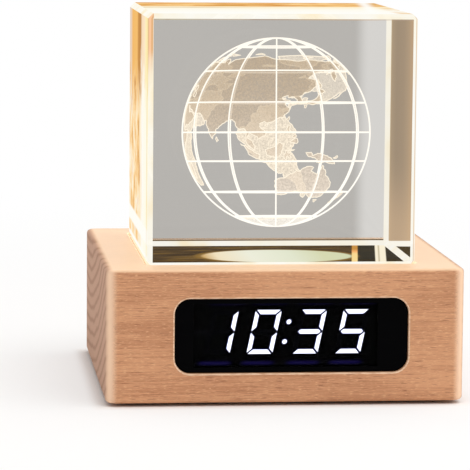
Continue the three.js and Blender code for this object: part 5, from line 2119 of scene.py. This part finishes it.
@dataclass
class Screws:
    """Cross-head screws: one model for each length, copied onto its places."""

    head_radius: float = 2.3 * MM
    head_height: float = 1.3 * MM
    head_profile: tuple[Pair, ...] = ((0.7, 1.0), (0.88, 0.85), (1.0, 0.5), (1.0, 0.0))
    cross: Pair = (3.0 * MM, 0.45 * MM)
    cross_depth: float = 0.8 * MM
    shank: float = 1.25 * MM
    thread_pitch: float = 0.6 * MM
    thread_depth: float = 0.22 * MM

    def build(self, steel: Material) -> None:
        """Makes every set of screws of the clock."""
        for stem, count, axis, way in [
            ("cover_screw", 4, 2, 1), ("cup_screw", 2, 2, 1), ("board_screw", 2, 1, -1),
            ("key_board_screw", 2, 1, 1),
        ]:
            self._set(stem, count, axis, way, steel)

    def _set(self, stem: str, count: int, axis: int, way: int, steel: Material) -> None:
        """One set of screws that lie alike.

        Args:
            stem: the CAD nodes' name without its number.
            count: how many there are.
            axis: the axis that they lie along: 1 for Y, 2 for Z.
            way: 1 where the thread points up that axis, -1 where down.
            steel: their material.
        """
        nodes = [f"{stem}_{index}" for index in range(1, count + 1)]
        rooms = [Room.of(node) for node in nodes]
        master = self._screw(rooms[0].size[axis] - self.head_height)
        places = []
        for room in rooms:
            spot = room.middle.copy()
            spot[axis] = (room.low if way > 0 else room.high)[axis] + way * self.head_height
            places.append([spot])
        turn = (-way * QUARTER if axis == 1 else 0.0, 0.0, 0.0)
        seeds = edge_mesh(f"{stem}s", places)
        made = copy_recipe().make(f"{stem}s", seeds, steel, {"Piece": master, "Turn": turn, "Spin": TURN})
        bpy.data.objects.remove(master)
        polish(made, 30.0)
        dress(made, steel, "screw_steel", "base", *nodes)

    def _screw(self, length: float) -> Piece:
        """A screw with its head below the origin and its thread above."""
        head, shank = self.head_radius, self.shank
        sections = [(disc(share * head), -rise * self.head_height) for share, rise in self.head_profile]
        sections.append((disc(shank), 0.0))
        for turn in range(int(length / self.thread_pitch)):
            level = (turn + 0.25) * self.thread_pitch
            sections.append((disc(shank), level))
            sections.append((disc(shank - self.thread_depth), level + self.thread_pitch / 2))
        sections.append((disc(0.3 * shank), length))
        made = stack("screw", sections)
        (long, thin), deep = self.cross, self.cross_depth + OVERRUN
        middle = Vector((0.0, 0.0, self.cross_depth - self.head_height - deep / 2))
        carve(made, [box("slot", middle, Vector(size)) for size in [(long, thin, deep), (thin, long, deep)]])
        return made


class Mark(Enum):
    """What is sunk into a button's face."""

    RING = "set"
    PLUS = "up"
    MINUS = "down"
    LAMP = "light"


@dataclass
class RearControls:
    """The rear panel with its buttons and its power inlet."""

    edge: float = 0.35 * MM
    cap_edge: float = 0.12 * MM
    sleeve_edge: float = 0.1 * MM
    tongue_edge: float = 0.08 * MM
    mark_depth: float = 0.12 * MM
    mark_size: Pair = (1.3 * MM, 0.22 * MM)
    hoop_width: float = 0.4 * MM
    contact: Triple = (0.25 * MM, 4.0 * MM, 0.08 * MM)
    contact_inset: float = 0.4 * MM
    contact_pitch: float = 0.5 * MM
    contact_count: int = 11

    def build(self, black: Material, white: Material, steel: Material) -> None:
        """Makes the panel, the buttons with their marks, and the inlet with its contacts.

        Args:
            black: the panel's and the tongue's material.
            white: the buttons' material.
            steel: the sleeve's material.
        """
        panel = refined("rear_panel", "rear_panel_shell", self.edge, 3)
        dress(panel, black, "black_plastic", "base", "rear_panel")
        for mark in Mark:
            node = f"button_{mark.value}"
            button = refined(node, f"{node}_cap", self.cap_edge)
            carve(button, self._mark(Room.of(node), mark))
            polish(button, 40.0)
            dress(button, white, "white_plastic", node, node)
        sleeve = refined("usb_socket", "usb_sleeve", self.sleeve_edge)
        dress(sleeve, steel, "screw_steel", "base", "usb_socket")
        ease_node("usb_tongue", "core", self.tongue_edge, black, "black_plastic")
        tongue = Room.of("usb_tongue")
        start = tongue.middle.x - self.contact_pitch * (self.contact_count - 1) / 2
        depth = tongue.high.y - self.contact[1] / 2 - self.contact_inset
        rows = edge_mesh("usb_contacts", [[(start, depth, level)] for level in (tongue.low.z, tongue.high.z)])
        gold = Metal("contact_gold", (216, 176, 92), (170, 130, 60), (0.5, 0.2, 0.5), 0.25).build()
        sizes = {"Count": self.contact_count, "Pitch": (self.contact_pitch, 0.0, 0.0), "Bar": self.contact}
        dress(bar_recipe().make("usb_contacts", rows, gold, sizes), gold, "screw_steel", "base")

    def _mark(self, room: Room, mark: Mark) -> list[Piece]:
        """The tools for the sunk mark on a button's face.

        Args:
            room: the button's room.
            mark: what is sunk into it.

        Returns:
            The tools.
        """
        middle, (long, thin) = Along.Y.flat(room.middle), self.mark_size
        low, high = room.high.y - self.mark_depth, room.high.y + OVERRUN

        def bar(across: float, up: float) -> Piece:
            """A bar of half this width and height."""
            spot = Vector((middle[0], (low + high) / 2, middle[1]))
            return box("bar", spot, Vector((2 * across, high - low, 2 * up)))

        if mark is Mark.PLUS:
            return [bar(long, thin), bar(thin, long)]
        if mark is Mark.MINUS:
            return [bar(long, thin)]
        if mark is Mark.LAMP:
            return [prism("lamp", disc(0.75 * long, middle), low, high, Along.Y)]
        hoop = prism("hoop", disc(long, middle), low, high, Along.Y)
        inner = disc(long - self.hoop_width, middle)
        carve(hoop, [prism("core", inner, low - OVERRUN, high + OVERRUN, Along.Y)])
        return [hoop]


@dataclass
class Underside:
    """The bottom cover, the battery door with its grip ribs, and the four feet."""

    edge: float = 0.4 * MM
    door_edge: float = 0.2 * MM
    foot_edge: float = 0.5 * MM
    dish_depth: float = 0.3 * MM
    rib: Triple = (12.0 * MM, 0.4 * MM, 0.4 * MM)
    rib_pitch: float = 0.8 * MM
    rib_count: int = 3
    grip_inset: float = 3.0 * MM
    grip_depth: float = 0.6 * MM

    def build(self, black: Material) -> None:
        """Makes the pieces that show from below."""
        ease_node("bottom_cover", "plate", self.edge, black, "black_plastic")
        ease_node("battery_door", "plate", self.door_edge, black, "black_plastic", "battery_door")
        room = Room.of("battery_door")
        start = room.high.y - self.grip_inset - self.rib_pitch * (self.rib_count - 1) / 2
        level = room.low.z + self.grip_depth - self.rib[2] / 2 + FACE_GAP
        seeds = edge_mesh("grip", [[(room.middle.x, start, level)]])
        sizes = {"Count": self.rib_count, "Pitch": (0.0, self.rib_pitch, 0.0), "Bar": self.rib}
        ribs = bar_recipe().make("battery_door_grip_ribs", seeds, black, sizes)
        dress(ribs, black, "black_plastic", "battery_door")
        rubber = Rubber().build()
        for index in range(1, 5):
            self._foot(f"foot_{index}", rubber)

    def _foot(self, node: str, rubber: Material) -> None:
        """A foot with rounded rims and a shallow dish underneath."""
        room = Room.of(node)
        middle, radius, low = Along.Z.flat(room.middle), room.size.x / 2, room.low.z
        sections = eased(lambda inset: disc(radius - inset, middle), low, room.high.z, self.foot_edge, 4)
        made = stack(f"{node}_pad", sections)
        wide, narrow = disc(0.5 * radius, middle), disc(0.4 * radius, middle)
        carve(made, [stack("dish", [(wide, low - OVERRUN), (narrow, low + self.dish_depth)])])
        polish(made, 30.0)
        dress(made, rubber, "foot_rubber", "base", node)


@dataclass
class Power:
    """The battery bay: its cells, springs, contacts and tray."""

    cells: int = 3
    curls: float = 3.0
    wire: float = 0.35 * MM
    nub_radius: float = 2.7 * MM
    nub_length: float = 1.0 * MM
    nub_edge: float = 0.2 * MM
    edge: float = 0.7 * MM
    rim: tuple[Pair, ...] = ((1.0, 0.0), (0.3, 0.25), (0.0, 1.0))
    tray_edge: float = 0.3 * MM

    def build(self, black: Material, spring_steel: Material) -> None:
        """Makes the cells and the springs, and dresses the tray."""
        cap = Metal("cell_cap", (206, 206, 202), (150, 150, 148), (0.6, 2.0, 2.0), 0.3).build()
        for index in range(1, self.cells + 1):
            self._cell(index, cap)
            self._spring(f"battery_spring_{index}", f"spring_{index}", spring_steel)
        ease_node("battery_tray", "shell", self.tray_edge, black, "black_plastic")

    def _cell(self, index: int, cap: Material) -> None:
        """A cell with its sleeve, its bare ends and its nub."""
        room = Room.of(f"battery_cell_{index}")
        way = 1 if room.high.x > -room.low.x else -1
        flat, tip = (room.low.x, room.high.x) if way > 0 else (room.high.x, room.low.x)
        middle, radius = Along.X.flat(room.middle), room.size.z / 2
        shoulder, nub = tip - way * self.nub_length, self.nub_radius
        edge, turned = self.edge, way * self.edge
        profile = [
            (0.75 * radius, flat),
            *((radius - side * edge, flat + rise * turned) for side, rise in self.rim),
            *((radius - side * edge, shoulder - rise * turned) for side, rise in reversed(self.rim)),
            (nub, shoulder), (nub, tip - way * self.nub_edge), (nub - self.nub_edge, tip),
        ]
        made = stack(f"cell_{index}", [(disc(size, middle), level) for size, level in profile], Along.X)
        polish(made, 50.0)
        made.data.materials.append(CellSleeve().build())
        made.data.materials.append(cap)
        for face in made.data.polygons:
            across = math.hypot(face.center.y - middle[0], face.center.z - middle[1])
            if abs(face.normal.x) > 0.6 or across < 0.6 * radius:
                face.material_index = 1
        dress(made, None, "cell_sleeve", "base", f"battery_cell_{index}")

    def _spring(self, node: str, name: str, steel: Material) -> None:
        """The coil spring behind a cell."""
        room = Room.of(node)
        seeds = edge_mesh("seed", [[(room.low.x + self.wire, room.middle.y, room.middle.z)]])
        radius = room.size.z / 2 - self.wire
        sizes = {
            "Turns": self.curls, "Radius": radius, "Far Radius": radius,
            "Length": room.size.x - 2 * self.wire, "Wire Radius": self.wire,
        }
        made = coil_recipe().make(name, seeds, steel, sizes)
        made.data.shade_smooth()
        dress(made, steel, "spring_steel", "base", node)


def dress_inside(black: Material, steel: Material, spring: Material) -> None:
    """Gives the CAD nodes that stay their finishes.

    Args:
        black: the chips' and the switches' material.
        steel: the quartz's material.
        spring: the battery contacts' material.
    """
    board = Board().build()
    finishes = {
        "crystal_pad": Felt().build(),
        "light_window": Diffuser("lamp_window", (250, 255, 240), 1.0).build(),
        "light_led": Diffuser("lamp_chip", (255, 252, 235), 2.0, reach=3.0).build(),
        "light_cup": MouldedPlastic("cup_white", (238, 236, 230), (214, 211, 203), 0.4).build(),
        "light_board": board,
        "clock_board": board,
        "key_board": board,
        "clock_chip": black,
        "buzzer": black,
        "timing_quartz": steel,
        "light_lead": Sheath("lead_sheath", (176, 44, 38), (140, 30, 28)).build(),
        "battery_lead": Sheath("battery_lead_sheath", (60, 60, 62), (38, 38, 40)).build(),
        "key_ribbon": Sheath("ribbon_sheath", (196, 192, 184), (150, 146, 140), 1.0).build(),
        **{f"key_switch_{index}": black for index in range(1, 5)},
        **{f"battery_contact_{index}": spring for index in range(1, 4)},
    }
    for node, material in finishes.items():
        for slot in bpy.data.objects[node].material_slots:
            slot.material = material
        LOG.info("%s: CAD node with %s", node, material.name)


@dataclass
class Studio:
    """The camera, the pale floor and the soft lights. The floor's pairs are in millimetres."""

    camera_place: Triple = (-105.7 * MM, -908.2 * MM, 154.1 * MM)
    yaw: float = -6.024
    pitch: float = -6.856
    roll: float = 0.476
    lens: float = 227.5
    sensor: float = 36.0
    view_reach: float = 50.0
    lamp_place: Triple = (0.7, -0.45, 1.75)
    lamp_size: float = 2.6
    lamp_power: float = 30.0
    lamp_aim: Triple = (0.0, 0.0, 0.06)
    ambient: float = 0.6
    floor_reach: float = 6.0
    floor_white: float = 0.5
    floor_beside: Pair = (53.0, 58.0)
    floor_far: Pair = (120.0, 520.0)
    paper: Rgb = (250, 248, 246)

    def camera(self) -> None:
        """The camera at the photograph's place."""
        yaw, pitch, roll = (math.radians(angle) for angle in (self.yaw, self.pitch, self.roll))
        forward = Vector((
            -math.sin(yaw) * math.cos(pitch), math.cos(yaw) * math.cos(pitch), math.sin(pitch),
        ))
        right = Vector((math.cos(yaw), math.sin(yaw), 0.0))
        up = right.cross(forward)
        across = math.cos(roll) * right + math.sin(roll) * up
        rise = math.cos(roll) * up - math.sin(roll) * right
        turn = Matrix((across, rise, -forward)).transposed().to_4x4()
        lens = bpy.data.cameras.new("camera")
        lens.lens, lens.sensor_width, lens.clip_end = self.lens, self.sensor, self.view_reach
        made = show("camera", lens)
        made.matrix_world = Matrix.Translation(self.camera_place) @ turn
        bpy.context.scene.camera = made

    def build(self) -> None:
        """The world, the floor and the lamp."""
        bpy.context.scene.view_settings.view_transform = "Standard"
        self._world()
        self._floor()
        self._lamp("key")

    @staticmethod
    def _seen(graph: Graph) -> Value:
        """Whether a ray comes from the eye, a reflection or glass."""
        path = graph.node("ShaderNodeLightPath").outputs
        ways = ("Camera", "Glossy", "Transmission")
        camera, glossy, through = (Value(graph, path[f"Is {way} Ray"]) for way in ways)
        return camera.most(glossy).most(through)

    def _world(self) -> None:
        """White where it is seen, and plain soft light elsewhere."""
        world = bpy.data.worlds.new("studio")
        world.use_nodes = True
        graph = Graph(world.node_tree)
        strength = self._seen(graph) * (1.0 - self.ambient) + self.ambient
        lit = graph.node("ShaderNodeBackground", inputs={"Color": (1.0, 1.0, 1.0, 1.0), "Strength": strength})
        graph.node("ShaderNodeOutputWorld", inputs={"Surface": lit.outputs[0]})
        bpy.context.scene.world = world

    def _floor(self) -> None:
        """A pale floor that keeps the shadow near the object and turns white further off."""
        corners = [(-1, -1), (1, -1), (1, 1), (-1, 1)]
        floor = solid("floor", [Vector((*way, 0)) * self.floor_reach for way in corners], [[0, 1, 2, 3]])
        shop = Shader("floor_paper")
        x, y, _ = shop.axes()
        outside = abs(x).most(abs(y)).step(*self.floor_beside)
        far = self.floor_white * outside + (1.0 - self.floor_white) * distance(x, y).step(*self.floor_far)
        inputs = {"Base Color": colour(self.paper), "Roughness": 1.0, "Specular IOR Level": 0.0}
        white = shop.node("ShaderNodeEmission", inputs={"Strength": 1.0}).outputs[0]
        blended = shop.blend(far * self._seen(shop), shop.surface(inputs), white)
        floor.data.materials.append(shop.finish(blended))

    def _lamp(self, name: str) -> None:
        """A square area lamp that faces the clock and shows in nothing."""
        lamp = bpy.data.lights.new(name, "AREA")
        lamp.energy, lamp.size = self.lamp_power, self.lamp_size
        made = show(name, lamp)
        turn = (Vector(self.lamp_place) - Vector(self.lamp_aim)).to_track_quat("Z", "Y")
        made.matrix_world = Matrix.Translation(self.lamp_place) @ turn.to_matrix().to_4x4()
        made.visible_glossy = made.visible_transmission = made.visible_camera = False


def main() -> None:
    """Builds the clock's sub-assemblies in order."""
    logging.basicConfig(level=logging.INFO, format="%(name)s: %(message)s")
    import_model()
    studio = Studio()
    studio.camera()
    black = MouldedPlastic("black_plastic", (34, 34, 35), (24, 24, 25), 0.5).build()
    white = MouldedPlastic("white_plastic", (232, 231, 227), (210, 209, 204), 0.4).build()
    steel = Metal("plated_steel", (214, 214, 212), (160, 160, 158), (0.8, 0.8, 6.0), 0.28).build()
    spring = Metal("spring_steel", (206, 208, 210), (150, 152, 156), (3.0, 3.0, 3.0), 0.3).build()
    Housing().build()
    GlassBlock().build()
    Globe().build()
    Display().build()
    RearControls().build(black, white, steel)
    Underside().build(black)
    Power().build(black, spring)
    Screws().build(steel)
    dress_inside(black, steel, spring)
    studio.build()


if __name__ == "__main__":
    main()
